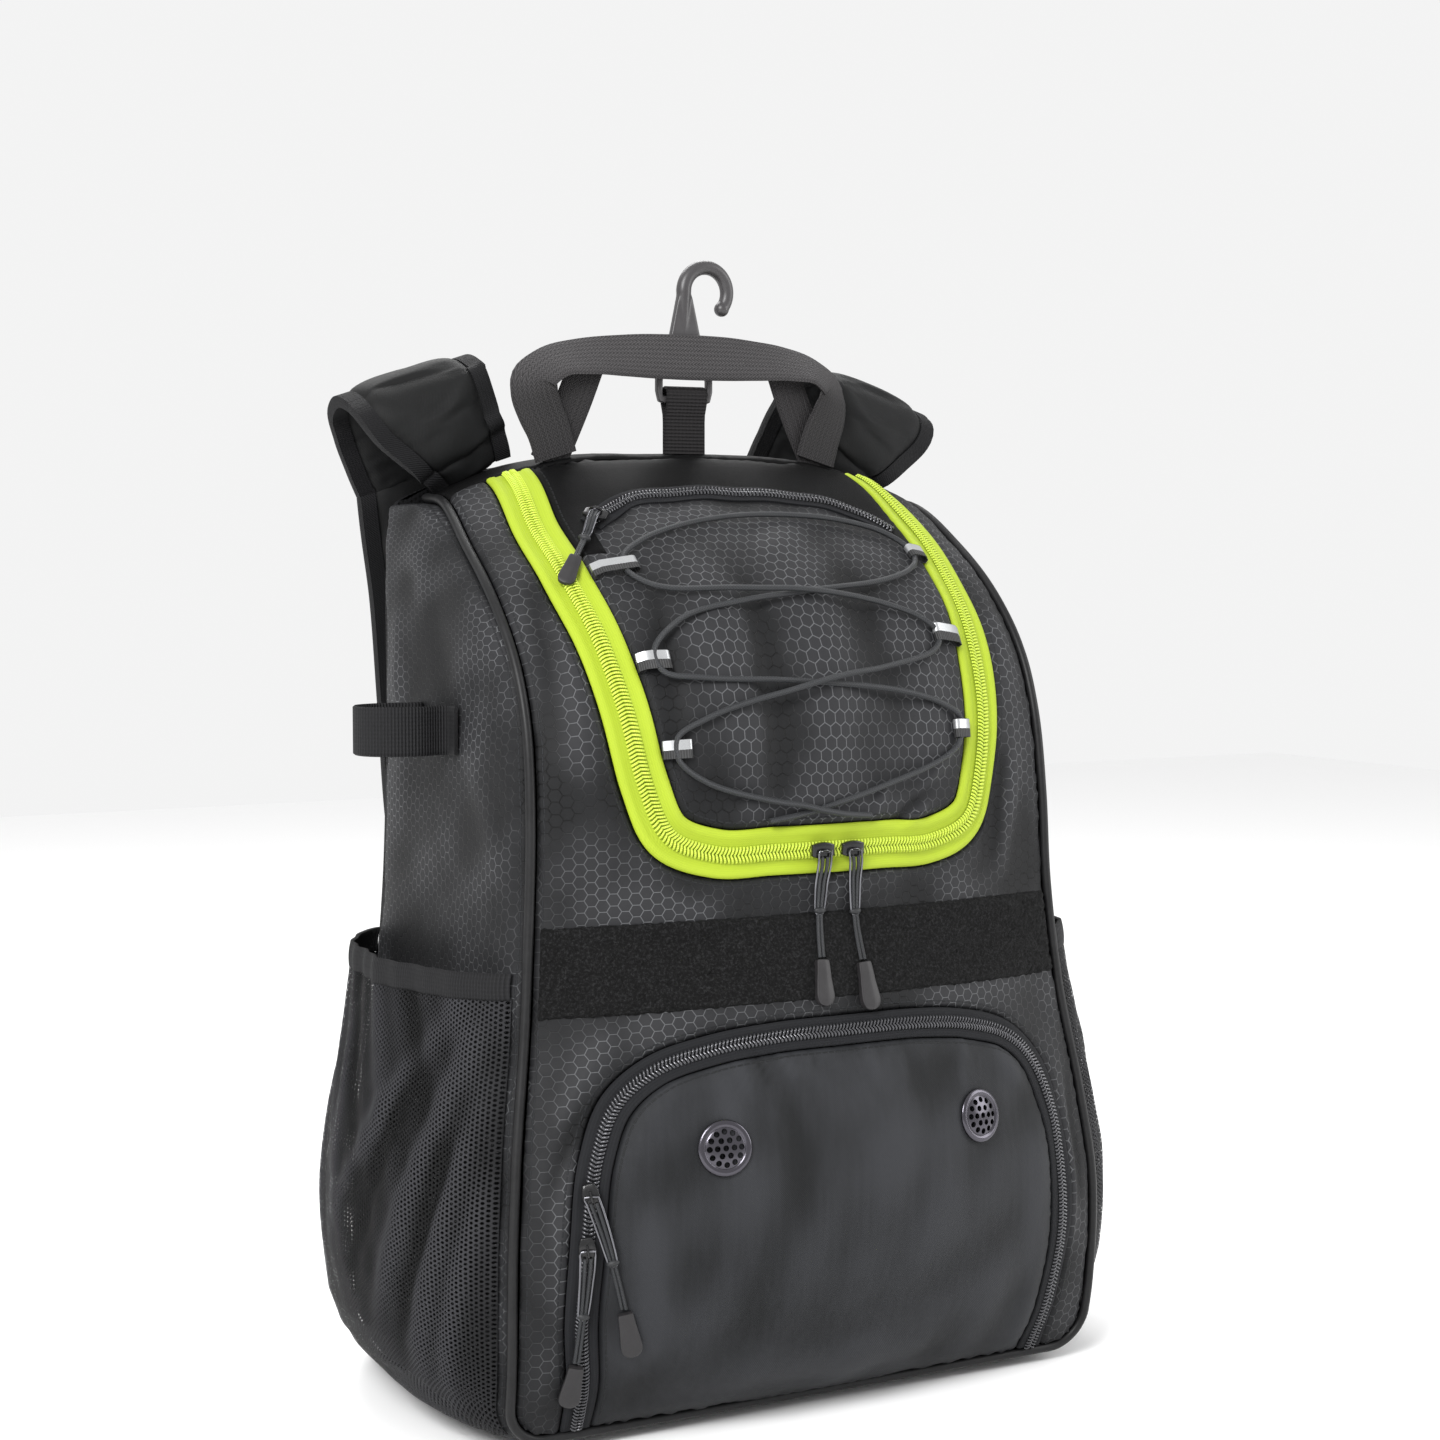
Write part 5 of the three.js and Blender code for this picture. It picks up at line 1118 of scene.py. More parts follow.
LOOPS = [(-1, 0.737, 24), (-1, 0.648, 17), (-1, 0.581, 14), (1, 0.755, 12), (1, 0.6630, 19), (1, 0.588, 12)]
for k, (side, share, reach) in enumerate(LOOPS):
    ribbon_loop(f"ribbon_{k + 1}", side, share, reach, f"cord_loop_{k + 1}")
print("cord:", round(float(np.linalg.norm(np.diff(path, axis=0), axis=1).sum())), "mm")

# %% [markdown]
# ## Sliders, wire loops and pulls
# Each slider is a rounded body with a bridge on top. A long wire loop passes through the bridge
# and a rubber pull hangs from it on a short cord. One of each is modelled at the origin with the
# usual edit-mode tools, and copies are laid on the front at each slider's place.

# %% Slider parts


def fresh(add, **settings):
    """Adds a primitive and returns it, alone in the selection."""
    bpy.ops.object.select_all(action="DESELECT")
    add(**settings)
    return bpy.context.active_object


def joined(*parts):
    bpy.ops.object.select_all(action="DESELECT")
    for part in parts:
        part.select_set(True)
    bpy.context.view_layer.objects.active = parts[0]
    bpy.ops.object.join()
    return parts[0]


def slider_model():
    body = fresh(bpy.ops.mesh.primitive_cube_add, size=1)
    body.scale = (8.4 * MM, 12.5 * MM, 2.4 * MM)
    bpy.ops.object.transform_apply(scale=True)
    bpy.ops.object.mode_set(mode="EDIT")
    bpy.ops.mesh.subdivide(number_cuts=3)
    bpy.ops.object.mode_set(mode="OBJECT")
    for vertex in body.data.vertices:
        share = vertex.co.y / (6.25 * MM)
        vertex.co.x *= 0.62 + 0.38 * math.cos(share * 1.5) ** 0.8
        vertex.co.z += 1.0 * MM * (vertex.co.z > 0) * (1 - share**2) * 0.6
    apply(body, "BEVEL", width=0.7 * MM, segments=3, limit_method="ANGLE")
    bridge = fresh(bpy.ops.mesh.primitive_torus_add, major_radius=1.9 * MM, minor_radius=0.62 * MM,
                   major_segments=20, minor_segments=8, rotation=(0, math.pi / 2, 0))
    bridge.scale = (1.0, 1.45, 1.0)
    bridge.location = (0, 0, 2.5 * MM)
    bpy.ops.object.transform_apply(location=True, rotation=True, scale=True)
    return joined(body, bridge)


def pull_model():
    """A moulded tip: it widens to a round foot, with a step near its neck and one bevelled side."""
    tip = fresh(bpy.ops.mesh.primitive_cube_add, size=1)
    tip.scale = (8.4 * MM, 23 * MM, 3.8 * MM)
    bpy.ops.object.transform_apply(scale=True)
    bpy.ops.object.mode_set(mode="EDIT")
    bpy.ops.mesh.subdivide(number_cuts=7)
    bpy.ops.object.mode_set(mode="OBJECT")
    for vertex in tip.data.vertices:
        share = 0.5 - vertex.co.y / (23 * MM)
        aside = vertex.co.x / (4.2 * MM)
        vertex.co.x *= np.interp(share, (0, 0.3, 0.8, 0.94, 1), (0.88, 0.98, 1.28, 1.2, 0.92))
        vertex.co.z *= np.interp(share, (0, 0.3, 0.38, 0.9, 1), (0.98, 1.05, 0.84, 0.96, 0.6))
        vertex.co.y += 1.1 * MM * aside**2 * max(share - 0.75, 0) * 4
        if vertex.co.z > 0 and aside > 0.3:
            vertex.co.z -= 1.3 * MM * (aside - 0.3)
    return apply(tip, "SUBSURF", levels=1)


def front_frame(x, distance, degrees):
    """Across, up and outwards on the front, turned about the outward direction."""
    normal = front_normal(x, distance)
    up = face(x, distance + 1) - face(x, distance)
    up = unit(up - normal * np.dot(up, normal))
    across = np.cross(up, normal)
    turn = math.radians(degrees)
    up, across = (up * math.cos(turn) + across * math.sin(turn),
                  across * math.cos(turn) - up * math.sin(turn))
    return across, up, normal


def placed(model, name, centre, across, up, normal, material, nodes):
    """A copy of a model with its own mesh, set on the front."""
    copy = model.copy()
    copy.data = model.data.copy()
    copy.name = name
    bpy.context.scene.collection.objects.link(copy)
    copy.matrix_world = Matrix((
        (across[0], up[0], normal[0], centre[0] * MM), (across[1], up[1], normal[1], centre[1] * MM),
        (across[2], up[2], normal[2], centre[2] * MM), (0, 0, 0, 1)))
    return own(copy, material, nodes)


SLIDERS = [
    ("main_left", -0.038, 0.495, 0, -4, 0, 7, 1), ("main_right", 0.062, 0.495, 0, 3, 0, 7, 1.05),
    ("top_pocket", -0.496, 0.801, 38, -38, 1.9, 7, 0.66), ("shoe_upper", -0.797, 0.213, 80, 17, 0, 28, 1),
    ("shoe_lower", -0.813, 0.172, 84, -3, 0, 7, 1)]
SLIDER_FLOOR = 1.7
LUG = SLIDER_FLOOR + 2.5 + 1.6
slider_one, pull_one = slider_model(), pull_model()


def pull_point(row, drop, aside):
    """A point on a hanging pull: at the bridge's height near the slider, then lying on the cloth."""
    name, across, share, travel, swing, lift, stays, size = row
    x, distance = across * HALF_WIDTH, share * LENGTH
    side, up, normal = front_frame(x, distance, -swing)
    start = -up * drop + side * aside
    foot = distance - drop * math.cos(math.radians(swing))
    t = min(max((drop - stays) / 9, 0), 1)
    settle = t * t * (3 - 2 * t)
    height = (LUG + lift) * (1 - settle) + (3.1 + (0.4 if lift else 0)) * settle
    return on_cloth(x + start[0], foot, 0.0) + normal * height


for row in SLIDERS:
    name, across, share, travel, swing, lift, stays, size = row
    x, distance = across * HALF_WIDTH, share * LENGTH
    side, up, normal = front_frame(x, distance, travel - 90)
    centre = on_cloth(x, distance, SLIDER_FLOOR + 1.2 + lift)
    placed(slider_one, f"zip_slider_{name}", centre, side, up, normal, BLACK_ENAMEL, [f"slider_{name}"])
    stations = [(0, 1), (0.09, 1), (0.18, 1), (0.35, 0.95), (0.5, 0.9), (0.7, 0.84), (0.88, 0.75),
                (0.96, 0.62), (1, 0.4)]
    right = [(a * 33 * size, 3.5 * w) for a, w in stations]
    loop = [pull_point(row, drop, aside) for drop, aside in right + [(a, -w) for a, w in right[::-1]]]
    loop = smooth(np.array(loop + [loop[0]]), 2)[:-1]
    tubes(f"wire_{name}", loop, 0.62, DARK_WIRE, [f"wire_loop_{name}"], sides=8, closed=True)
    start = 33 * size - 1.2
    drops = np.linspace(3 * size, start + 23 * size, 16)
    strands = [[pull_point(row, d, a * np.interp(d, (0, start, 60), (1.5, 0.9, 1.1))) for d in drops]
               for a in (-1, 1)]
    tubes(f"pull_cord_{name}", strands, 0.95, CORD_BRAID, (), None, 8)
    knot = fresh(bpy.ops.mesh.primitive_uv_sphere_add, radius=2.5 * MM, segments=20, ring_count=12)
    knot.scale = (1.35, 0.7, 0.85)
    bpy.ops.object.transform_apply(scale=True)
    hang_side, hang_up, hang_normal = front_frame(x, distance, -swing)
    middle = pull_point(row, start + (22 + 14) * size, 0)
    lower = pull_point(row, start + (22 + 24) * size, 0)
    hang_up = unit(pull_point(row, start + 24 * size, 0) - lower)
    hang_side = unit(np.cross(hang_up, hang_normal))
    placed(knot, f"pull_knot_{name}", pull_point(row, start - 0.6, 0), hang_side, hang_up,
           np.cross(hang_side, hang_up), CORD_BRAID, ())
    bpy.data.objects.remove(knot)
    scale = max(size, 0.85)
    placed(pull_one, f"pull_tip_{name}", middle, hang_side * scale, hang_up * scale,
           np.cross(hang_side, hang_up) * scale, RUBBER, [f"pull_{name}"])
for model in (slider_one, pull_one):
    bpy.data.objects.remove(model)
print("sliders:", len(SLIDERS))

# %% [markdown]
# ## Vents
# Each vent is a pressed metal eyelet: a rolled rim round a low dome with nineteen round holes. The
# dome is turned from a profile and the holes are cut with one boolean.

# %% Vents


def vent_model():
    rim = fresh(bpy.ops.mesh.primitive_torus_add, major_radius=11.6 * MM, minor_radius=2.0 * MM,
                major_segments=64, minor_segments=16)
    rim.scale = (1, 1, 0.62)
    bpy.ops.object.transform_apply(scale=True)
    dome = fresh(bpy.ops.mesh.primitive_uv_sphere_add, radius=10.6 * MM, segments=64, ring_count=24)
    dome.scale = (1, 1, 0.20)
    bpy.ops.object.transform_apply(scale=True)
    cutters = []
    for count, radius in ((1, 0), (6, 4.2), (12, 8.0)):
        for k in range(count):
            angle = 2 * math.pi * k / count
            cutters.append(fresh(bpy.ops.mesh.primitive_cylinder_add, radius=1.45 * MM, depth=0.02,
                                 vertices=16, location=(radius * MM * math.cos(angle),
                                                        radius * MM * math.sin(angle), 0)))
    tool = joined(*cutters)
    apply(dome, "BOOLEAN", operation="DIFFERENCE", object=tool, solver="EXACT")
    bpy.data.objects.remove(tool)
    return joined(rim, dome)


vent_one = vent_model()
for word, side in (("left", -1), ("right", 1)):
    x, distance = side * 0.433 * HALF_WIDTH, 0.243 * LENGTH
    across, up, normal = front_frame(x, distance, 0)
    placed(vent_one, f"vent_eyelet_{word}", on_cloth(x, distance, 1.3), across, up, normal, GUNMETAL,
           [f"vent_{word}"])
bpy.data.objects.remove(vent_one)
print("vents: 28 mm across")

# %% [markdown]
# ## Side pockets
# A wide piece of mesh is sewn down both sides and along its foot, and its rim is gathered into
# ribbed elastic. Slanting folds run down from the corners of the rim, deepest near the top.

# %% Side pockets
POCKET_ROWS = np.array([
    (0.00, 0.00), (0.04, 0.34), (0.10, 0.68), (0.19, 0.90), (0.32, 1.00), (0.48, 1.02), (0.64, 1.00),
    (0.80, 0.95), (0.92, 0.90), (1.00, 0.86)])


def side_station(heights):
    ladder = np.linspace(0, LENGTH * 0.7, 3000)
    distance = np.interp(heights, along(ladder, "z"), ladder)
    rise = np.clip(CORNER - distance, 0, None)
    turn = np.arccos(np.clip(rise / CORNER, 0, 1))
    x = along(distance, "width") - CORNER * (1 - np.sin(turn))
    point = np.stack([x, along(distance, "y"), along(distance, "z")], -1)
    return point, np.stack([np.sin(turn), 0 * turn, -np.cos(turn)], -1), profile_normal(distance)


def pocket_surface(heights, swell, rise, columns, lift=0.0):
    point, out, normal = (np.repeat(a[:, None], len(columns), 1) for a in side_station(heights))
    v = np.broadcast_to(columns[None], point.shape[:2])
    across = (v - columns[0]) / (columns[-1] - columns[0])
    arch = np.sin(np.pi * np.clip(across, 0, 1)) ** 0.7
    rise, swell = rise[:, None], swell[:, None]
    gather = np.sin(2 * np.pi * 3 * (across - 0.35 * rise)) * rise * arch * 1.6
    fine = np.sin(2 * np.pi * 9 * (across - 0.45 * rise) + 1.3) * rise**1.5 * arch**0.5 * 0.9
    slack = np.sin(np.pi * (2.2 * across + 1.4 * rise)) * (1 - rise) * arch * 1.8
    corner = folds(across * 100, rise * 100 + 0 * across, [
        (4, 96, 34, 20, 3.0, 5.0), (3, 80, 20, 8, 2.6, 4.0), (10, 99, 60, 40, 3.4, 4.0),
        (97, 96, 70, 30, 3.4, 4.0), (2, 60, 12, 4, 2.2, 3.0), (20, 90, 44, 30, 2.6, -3.4),
        (8, 70, 26, 12, 2.2, -3.0), (60, 96, 56, 50, 3, 3.0), (80, 96, 66, 40, 2.6, -2.6)])
    out_by = 2.2 + 37 * swell * arch + (gather + fine + slack + corner * 0.7) * arch**0.3
    relief = gather * 1.2 + fine + slack + corner
    return side_point(point, out, normal, v, out_by + lift, 1 - np.abs(2 * v - 1) ** 8), v, relief


columns = (1 - np.cos(np.linspace(0, np.pi, 110))) / 2 * 0.965 + 0.02
heights = np.linspace(14, 222.7, 90)
rise = (heights - 14) / (222.7 - 14)
swell = np.interp(rise, POCKET_ROWS[:, 0], POCKET_ROWS[:, 1])
for word, side in (("left", -1), ("right", 1)):
    points, v, relief = pocket_surface(heights, swell, rise, columns)
    points[..., 2] = np.maximum(points[..., 2], 9.0)
    uv = np.stack([v * 260, np.broadcast_to(heights[:, None], v.shape)], -1)
    cloth(f"pocket_mesh_{word}", points * (side, 1, 1), uv, POCKET_MESH, [f"mesh_pocket_{word}"],
          relief=relief, wall=0.7)
    rim_heights = np.linspace(222.0, 235, 8)
    points, v, _ = pocket_surface(rim_heights, np.full(8, 0.85), np.ones(8), columns, 0.6)
    bulge = np.sin(np.linspace(0, np.pi, 8))[:, None] * 0.7
    points[..., 0] += bulge
    uv = np.stack([np.broadcast_to(rim_heights[:, None], v.shape), v * 260], -1)
    cloth(f"pocket_elastic_{word}", points * (side, 1, 1), uv, ELASTIC, [f"pocket_binding_{word}"], wall=2.0)
print("pocket reach:", round(float(np.abs(points[..., 0]).max())), "mm")

# %% [markdown]
# ## Bands of webbing and elastic
# A flat band is a loft through thin rounded sections. Its path gives a centre, a direction across
# the band and its thickness; the bat straps, the hook's tab, the handle and the strap ends are all
# made with the same few lines.

# %% Bands
BAT_HEIGHT = 347.5
BAT_RUN, BAT_REACH = 52, 42


def band(name, centres, across, width, thick, material, nodes, body="bag"):
    """A flat band with rounded edges along a line of centres."""
    tangent = unit(np.gradient(centres, axis=0))
    across = unit(across - tangent * np.sum(across * tangent, 1, keepdims=True))
    normal = np.cross(across, tangent)
    half, wall = width / 2, thick / 2
    steps = np.linspace(-0.94, 0.94, 9)
    section = [(-1, 0)] + [(w, 1) for w in steps] + [(1, 0)] + [(w, -1) for w in steps[::-1]]
    rings = np.stack([centres + across * (w * half) + normal * (n * wall) for w, n in section], 1)
    return loft(name, rings, material, nodes, body, angle=60)


BAT_PATH = np.array([
    (0.00, 0.00), (0.17, 0.00), (0.20, 0.10), (0.14, 0.42), (0.20, 0.74), (0.36, 0.96), (0.56, 1.00),
    (0.76, 0.90), (0.87, 0.62), (0.86, 0.30), (0.83, 0.08), (0.86, 0.00), (1.02, 0.00)])
point, out, normal = side_station(np.array([BAT_HEIGHT]))
seat = float(side_point(point, out, normal, np.array([0.5]))[0, 0])
for word, side in (("left", -1), ("right", 1)):
    path = smooth(BAT_PATH * (BAT_RUN, BAT_REACH), 6)
    centres = np.stack([side * (seat + 1.4 + path[:, 1]), -16 + path[:, 0], 0 * path[:, 0] + BAT_HEIGHT], -1)
    band(f"bat_elastic_{word}", centres, np.tile((0.0, 0, 1), (len(centres), 1)), 25, 1.9, ELASTIC,
         [f"bat_strap_{word}"])
print("bat straps at x =", round(seat, 1))

# %% [markdown]
# ## Handle and hook tab
# The carry handle is one length of grey webbing. Its legs stand up from the top seam and turn over
# into the grip, which leans back. Below the top of the grip the webbing is painted darker, as painted
# shade. A second layer of the same webbing shows behind each leg, in a darker copy of the finish that
# is painted shade. The tab that holds the hook is folded round the hook's bar and sewn flat below it.

# %% Handle and tab
HANDLE_Y = 33
HANDLE_HALF, HANDLE_LEAN, HANDLE_RISE = 92, 25, 55
HOOK_Y = 39
HANDLE = np.array([
    (0.870, 0.000, 0.00, 0), (0.905, 0.200, 0.00, 2), (0.965, 0.430, 0.02, 10), (1.000, 0.640, 0.05, 26),
    (0.965, 0.810, 0.08, 42), (0.860, 0.920, 0.08, 46), (0.680, 0.975, 0.05, 38), (0.430, 0.995, 0.02, 24),
    (0.200, 1.000, 0.00, 12), (0.000, 1.000, 0.00, 8)])


def top_height(x, y):
    ladder = np.linspace(0.8 * LENGTH, LENGTH, 300)
    points = on_front(x, ladder, 0.0)
    return float(np.interp(y, points[:, 1], points[:, 2]))


half_table = HANDLE * (-1, 1, 1, 1)
table = smooth(np.vstack([half_table, (half_table * (-1, 1, 1, 1))[::-1][1:]]), 6)
foot = top_height(80 - 12.5, HANDLE_Y) + 0.5
centres = np.stack([table[:, 0] * HANDLE_HALF, HANDLE_Y + table[:, 2] * HANDLE_LEAN,
                    foot + table[:, 1] * HANDLE_RISE], -1)
tangent = unit(np.gradient(centres, axis=0))
ahead = np.array([0.0, -1, 0])
inward = unit(np.cross(tangent, ahead))
lean = np.radians(table[:, 3])[:, None]
band("handle_webbing", centres, inward * np.cos(lean) + ahead * np.sin(lean), 25, 2.0, GREY_WEBBING,
     ["carry_handle"])
for word, side in (("left", -1), ("right", 1)):
    legs = smooth(np.array([(84, 35.6, 484), (76, 36.0, 500), (67, 36.0, 520), (60, 35.5, 538)], float), 6)
    legs = legs * (side, 1, 1)
    across = np.tile((1.0, 0, 0), (len(legs), 1))
    # The layer behind each leg gets the darker copy of the webbing, as painted shade.
    band(f"handle_leg_{word}", legs, across, 21, 1.6, SHADED_LEG_WEBBING, ())

tab_foot = top_height(0, 40.5) + 0.5
bar = tab_foot + 29.2
profile = [(1.0, tab_foot), (1.0, bar - 12), (1.3, bar - 8), (3.4, bar - 2), (3.7, bar + 3)]
profile += [(3.7 * math.cos(a), bar + 3 + 3.7 * math.sin(a)) for a in np.linspace(0.3, math.pi - 0.3, 7)]
profile += [(-3.7, bar + 3), (-3.4, bar - 2), (-1.3, bar - 8), (-1.0, bar - 12), (-1.0, tab_foot)]
profile = np.array(profile)
centres = np.stack([0 * profile[:, 0], HOOK_Y + profile[:, 0], profile[:, 1]], -1)
band("tab_webbing", centres, np.tile((1.0, 0, 0), (len(centres), 1)), 25, 1.5, BLACK_WEBBING, ["hook_tab"])
print("hook bar at z =", round(bar, 1))

# %% [markdown]
# ## Fence hook
# The hook is one moulding: a flat frame with a slot, a tapered shank, and a round rod that curls
# over to a ball. The plate is a filled curve with a bevel, the rod is a tube, and a fine remesh
# melts them together as in a mould. It swings on its own body.

# %% Fence hook


def hook_plate():
    low, slot_low = bar - 2, bar + 2
    slot_high = slot_low + 9.5
    shoulder, top = slot_high + 5, slot_high + 47.5
    outer = 17.1
    right = [(12.5, low), (15.6, low + 0.8), (outer, slot_low + 2.5), (outer, shoulder - 2),
             (outer * 0.93, shoulder + 3.5), (outer * 0.68, shoulder + 9), (4.9, top - 4), (3.4, top)]
    left = [(-3.4, top), (-outer * 0.62, shoulder + 9), (-outer * 0.91, shoulder + 3.5),
            (-outer, shoulder - 2), (-outer, slot_low + 2.5), (-15.6, low + 0.8), (-12.5, low)]
    slot = [(-13.5, slot_low), (-13.5, slot_high), (13.5, slot_high), (13.5, slot_low)]
    curve = bpy.data.curves.new("hook_plate", "CURVE")
    curve.dimensions = "2D"
    curve.fill_mode = "BOTH"
    curve.extrude = 1.4 * MM
    curve.bevel_depth = 0.8 * MM
    curve.bevel_resolution = 3
    curve.offset = -0.8 * MM
    for outline in (right + left, slot):
        spline = curve.splines.new("POLY")
        spline.points.add(len(outline) - 1)
        spline.points.foreach_set("co", [c for x, z in outline for c in (x * MM, z * MM, 0, 1)])
        spline.use_cyclic_u = True
    plate = bpy.data.objects.new("fence_hook_moulding", curve)
    bpy.context.scene.collection.objects.link(plate)
    bpy.ops.object.select_all(action="DESELECT")
    plate.select_set(True)
    bpy.context.view_layer.objects.active = plate
    bpy.ops.object.convert(target="MESH")
    plate = bpy.context.active_object
    plate.rotation_euler = (math.pi / 2, 0, 0)
    plate.location = (0, HOOK_Y * MM, 0)
    bpy.ops.object.transform_apply(location=True, rotation=True, scale=True)
    return plate, top


plate, curl_z = hook_plate()
angles = np.linspace(math.pi, math.pi - math.radians(221), 40)
CURL = 13.4
curl = np.stack([CURL + CURL * np.cos(angles), HOOK_Y + 0 * angles, curl_z + CURL * np.sin(angles)], -1)
stem = np.stack([np.linspace(-0.6, 0, 12), np.full(12, float(HOOK_Y)),
                 np.linspace(curl_z - 36, curl_z - 1, 12)], -1)
rod_path = np.vstack([stem, curl])
rod_size = np.concatenate([np.linspace(1.2, 4.1, 12), np.linspace(4.2, 3.7, 40)])
rod = tubes("hook_rod", rod_path, rod_size[None], HOOK_PLASTIC, (), np.tile((0.0, 1, 0), (52, 1)), 20,
            body="fence_hook")
rod.parent = None
ball = fresh(bpy.ops.mesh.primitive_uv_sphere_add, radius=4.2 * MM, segments=24, ring_count=16,
             location=tuple(curl[-1] * MM))
bpy.ops.object.transform_apply(location=True)
hook = joined(plate, rod, ball)
hook.name = "fence_hook_moulding"
apply(hook, "REMESH", mode="VOXEL", voxel_size=0.0005)
apply(hook, "SMOOTH", factor=0.5, iterations=16)
own(hook, HOOK_PLASTIC, ["fence_hook"], "fence_hook", 80)
print("hook:", len(hook.data.polygons), "faces")

# %% [markdown]
# ## Shoulder straps
# A strap is a long closed pad with a thin bound edge and a thicker middle. It is lofted along its
# path, then inflated for twenty frames as cloth with its edges held, which puts soft wrinkles where
# it bends. Each point may move only a little, so the strap keeps its place.

# %% Shoulder straps
STRAP = np.array([
    (0.00, 0.00, 0.00, 0.58, -10), (0.18, -0.10, 0.22, 0.68, -16), (0.42, -0.15, 0.50, 0.84, -20),
    (0.62, -0.12, 0.76, 0.97, -20), (0.70, 0.08, 0.94, 1.00, -19), (0.72, 0.36, 1.00, 1.00, -18),
    (0.66, 0.66, 0.90, 1.00, -17), (0.52, 0.86, 0.62, 0.98, -14), (0.34, 0.97, 0.26, 0.95, -10),
    (0.16, 1.05, -0.06, 0.92, -6), (0.00, 1.14, -0.24, 0.90, -3), (-0.10, 1.20, -0.46, 0.88, 0),
    (-0.12, 1.16, -0.70, 0.82, 2), (-0.06, 1.00, -0.92, 0.62, 0), (-0.06, 1.00, -1.00, 0.44, 0)])
STRAP_HALF = 39
PAD_SECTION = [
    (1.00, 0.0), (0.995, 1.6), (0.96, 2.4), (0.88, 2.7), (0.79, 2.6), (0.755, 2.0), (0.71, 2.9), (0.62, 4.3),
    (0.48, 5.2), (0.32, 5.6), (0.16, 5.8), (0.0, 5.8)]


def puff(piece, held, pressure, cap, frames=20):
    """Inflates a closed piece as cloth; the held points stay and the others move at most cap."""
    rest = np.empty(len(piece.data.vertices) * 3)
    piece.data.vertices.foreach_get("co", rest)
    group = piece.vertex_groups.new(name="held")
    group.add([int(k) for k in held], 1.0, "REPLACE")
    modifier = piece.modifiers.new("puff", "CLOTH")
    settings = modifier.settings
    settings.quality = 6
    settings.mass = 0.2
    settings.use_pressure = True
    settings.uniform_pressure_force = pressure
    settings.vertex_group_mass = "held"
    settings.tension_stiffness = 20
    settings.compression_stiffness = 20
    settings.bending_stiffness = 0.4
    settings.shrink_min = -0.03
    settings.effector_weights.gravity = 0
    modifier.collision_settings.use_collision = False
    modifier.point_cache.frame_end = frames
    for moment in range(1, frames + 1):
        bpy.context.scene.frame_set(moment)
    view = piece.evaluated_get(bpy.context.evaluated_depsgraph_get())
    moved = np.empty_like(rest)
    view.data.vertices.foreach_get("co", moved)
    step = np.nan_to_num(moved - rest).reshape(-1, 3)
    size = np.linalg.norm(step, axis=1, keepdims=True)
    step *= np.minimum(1, cap * MM / np.maximum(size, 1e-9))
    piece.modifiers.remove(modifier)
    piece.vertex_groups.remove(group)
    piece.data.vertices.foreach_set("co", rest + step.ravel())
    bpy.context.scene.frame_set(1)


STRAP_X, STRAP_Y = 112, 70
strap_foot = top_height(STRAP_X, STRAP_Y)
upper = PAD_SECTION + [(-a, b) for a, b in PAD_SECTION[:-1][::-1]]
outline = np.array(upper + [(a, -b) for a, b in upper[1:-1][::-1]])
for word, side in (("left", -1), ("right", 1)):
    table = smooth(STRAP, 9)
    rise = np.where(table[:, 2] >= 0, table[:, 2] * 50, table[:, 2] * 270)
    centres = np.stack([side * (STRAP_X + table[:, 0] * 45), STRAP_Y + table[:, 1] * 52,
                        strap_foot + rise], -1)
    lean = np.radians(table[:, 4])
    aside = np.stack([side * np.cos(lean), 0 * lean, np.sin(lean)], -1)
    tangent = unit(np.gradient(centres, axis=0))
    aside = unit(aside - tangent * np.sum(aside * tangent, 1, keepdims=True))
    normal = np.cross(aside, tangent)
    half = STRAP_HALF * table[:, 3]
    edge = (half[:, None] - 9) / half[:, None]
    share = np.sign(outline[:, 0]) * np.interp(np.abs(outline[:, 0]), (0, 0.755, 1), (0, 1, 2))[None]
    outer_reach = np.sign(share) * (edge + (np.abs(share) - 1) * (1 - edge))
    reach = np.where(np.abs(share) < 1, share * edge, outer_reach)
    ends = np.clip(np.minimum(np.arange(len(table)), np.arange(len(table))[::-1]) / 5 + 0.55, 0, 1)
    rings = (centres[:, None] + aside[:, None] * (reach * half[:, None])[..., None]
             + normal[:, None] * (outline[:, 1][None] * ends[:, None])[..., None])
    pad = loft(f"strap_pad_{word}", rings, PAD_CLOTH, [f"shoulder_strap_{word}"], angle=70)
    size = rings.shape[1]
    thin = [k for k in range(size) if abs(outline[k, 0]) > 0.74]
    held = [row * size + k for row in range(len(rings)) for k in thin]
    held += [row * size + k for row in (0, 1, 2, len(rings) - 2, len(rings) - 1) for k in range(size)]
    puff(pad, held, 3.0, 1.6)
    apply(pad, "SUBSURF", levels=1)
    for edge_word, end in (("inner", -1), ("outer", 1)):
        edge_line = centres + aside * ((half - 4.3) * end)[:, None]
        band(f"strap_binding_{word}_{edge_word}", edge_line, aside, 9.4, 6.6, BINDING_TWILL, ())
print("strap foot at z =", round(strap_foot, 1))

# %% [markdown]
# ## Strap ends
# Each strap ends in a ladder buckle. A webbing strap runs from it down to the bottom corner of the
# back. The buckle is a block with two slots cut through and its edges rounded.

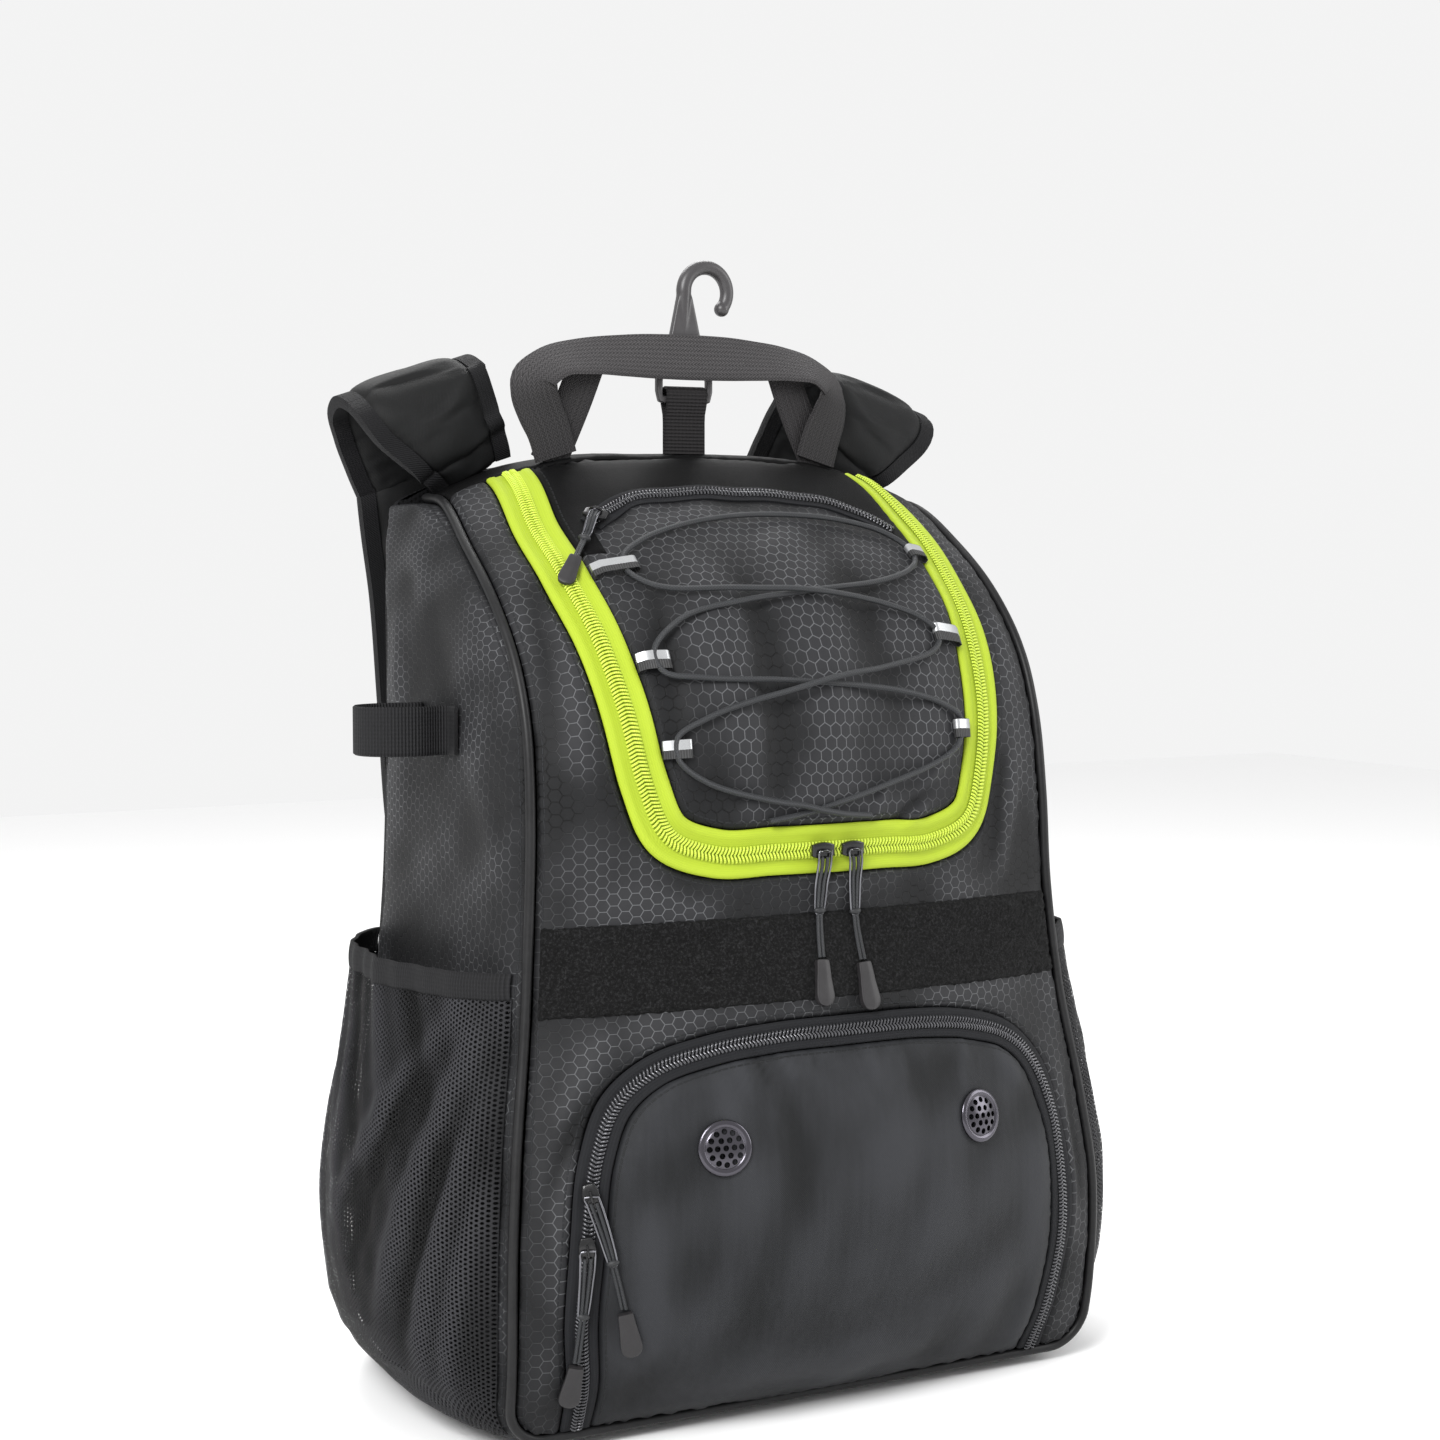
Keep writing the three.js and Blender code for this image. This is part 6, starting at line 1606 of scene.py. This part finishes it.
# %% Strap ends
BUCKLE = np.array([109.3, 122, 200.0])
for word, side in (("left", -1), ("right", 1)):
    middle = BUCKLE * (side, 1, 1)
    buckle = fresh(bpy.ops.mesh.primitive_cube_add, size=1, location=tuple(middle * MM))
    buckle.scale = (28 * MM, 4 * MM, 24 * MM)
    for level in (5.15, -5.15):
        slot = fresh(bpy.ops.mesh.primitive_cube_add, size=1,
                     location=tuple((middle + (0, 0, level)) * MM))
        slot.scale = (21 * MM, 9 * MM, 6.9 * MM)
        apply(buckle, "BOOLEAN", operation="DIFFERENCE", object=slot, solver="EXACT")
        bpy.data.objects.remove(slot)
    buckle.name = f"ladder_buckle_{word}"
    own(buckle, BUCKLE_PLASTIC, [f"strap_buckle_{word}"])
    apply(buckle, "BEVEL", width=0.9 * MM, segments=3, limit_method="ANGLE")
    top_web = np.array([(0, -1.6, 15), (0, -2.2, 9), (0, 0, 4.5), (0, 2.6, 8), (0, 2.2, 15)]) + middle
    band(f"buckle_loop_{word}", smooth(top_web, 5), np.tile((1.0, 0, 0), (21, 1)), 20, 1.7, BLACK_WEBBING, ())
    low = np.array([side * 0.80 * HALF_WIDTH, BACK_SEAM + 12.6, 0.115 * HEIGHT])
    web = np.array([middle + (0, 3.4, 14), middle + (0, 3.6, 4), middle + (0, 2.2, -3),
                    middle + (0, 1.2, -10), middle * 0.75 + low * 0.25 + (0, 2, -6),
                    middle * 0.4 + low * 0.6 + (0, 1, -2), low])
    band(f"strap_web_{word}", smooth(web, 8), np.tile((1.0, 0, 0), (49, 1)), 20, 1.8, BLACK_WEBBING,
         [f"strap_webbing_{word}"])
print("buckles at z =", BUCKLE[2])

# %% [markdown]
# ## Floor and light
# A pale floor, a near-white surround, a wide soft light from the upper left and two weaker ones
# keep the black cloth readable, as in a catalogue picture.

# %% Floor and light
floor = fresh(bpy.ops.mesh.primitive_plane_add, size=6)
floor.name = "floor"
paper = Finish("floor_paper")
floor.data.materials.append(paper.surface(rgb("f7f7f7"), 0.85))


def soft_light(name, place, target, power, width, height):
    light = bpy.data.objects.new(name, bpy.data.lights.new(name, "AREA"))
    light.data.shape = "RECTANGLE"
    light.data.size, light.data.size_y = width, height
    light.data.energy = power
    light.location = place
    light.rotation_euler = (Vector(target) - Vector(place)).to_track_quat("-Z", "Y").to_euler()
    bpy.context.scene.collection.objects.link(light)
    return light


soft_light("key", (-1.5, -1.2, 1.5), (0, 0, 0.28), 58, 0.9, 0.9)
soft_light("right_side", (1.5, -0.9, 0.9), (0, 0, 0.28), 16, 0.7, 1.4)
soft_light("top_back", (0.2, 1.0, 1.7), (0, 0, 0.35), 22, 1.4, 0.7)
bpy.context.scene.view_settings.view_transform = "Standard"
world = bpy.data.worlds.new("studio")
bpy.context.scene.world = world
world.use_nodes = True
world.node_tree.nodes["Background"].inputs["Color"].default_value = (1, 1, 1, 1)
world.node_tree.nodes["Background"].inputs["Strength"].default_value = 0.9
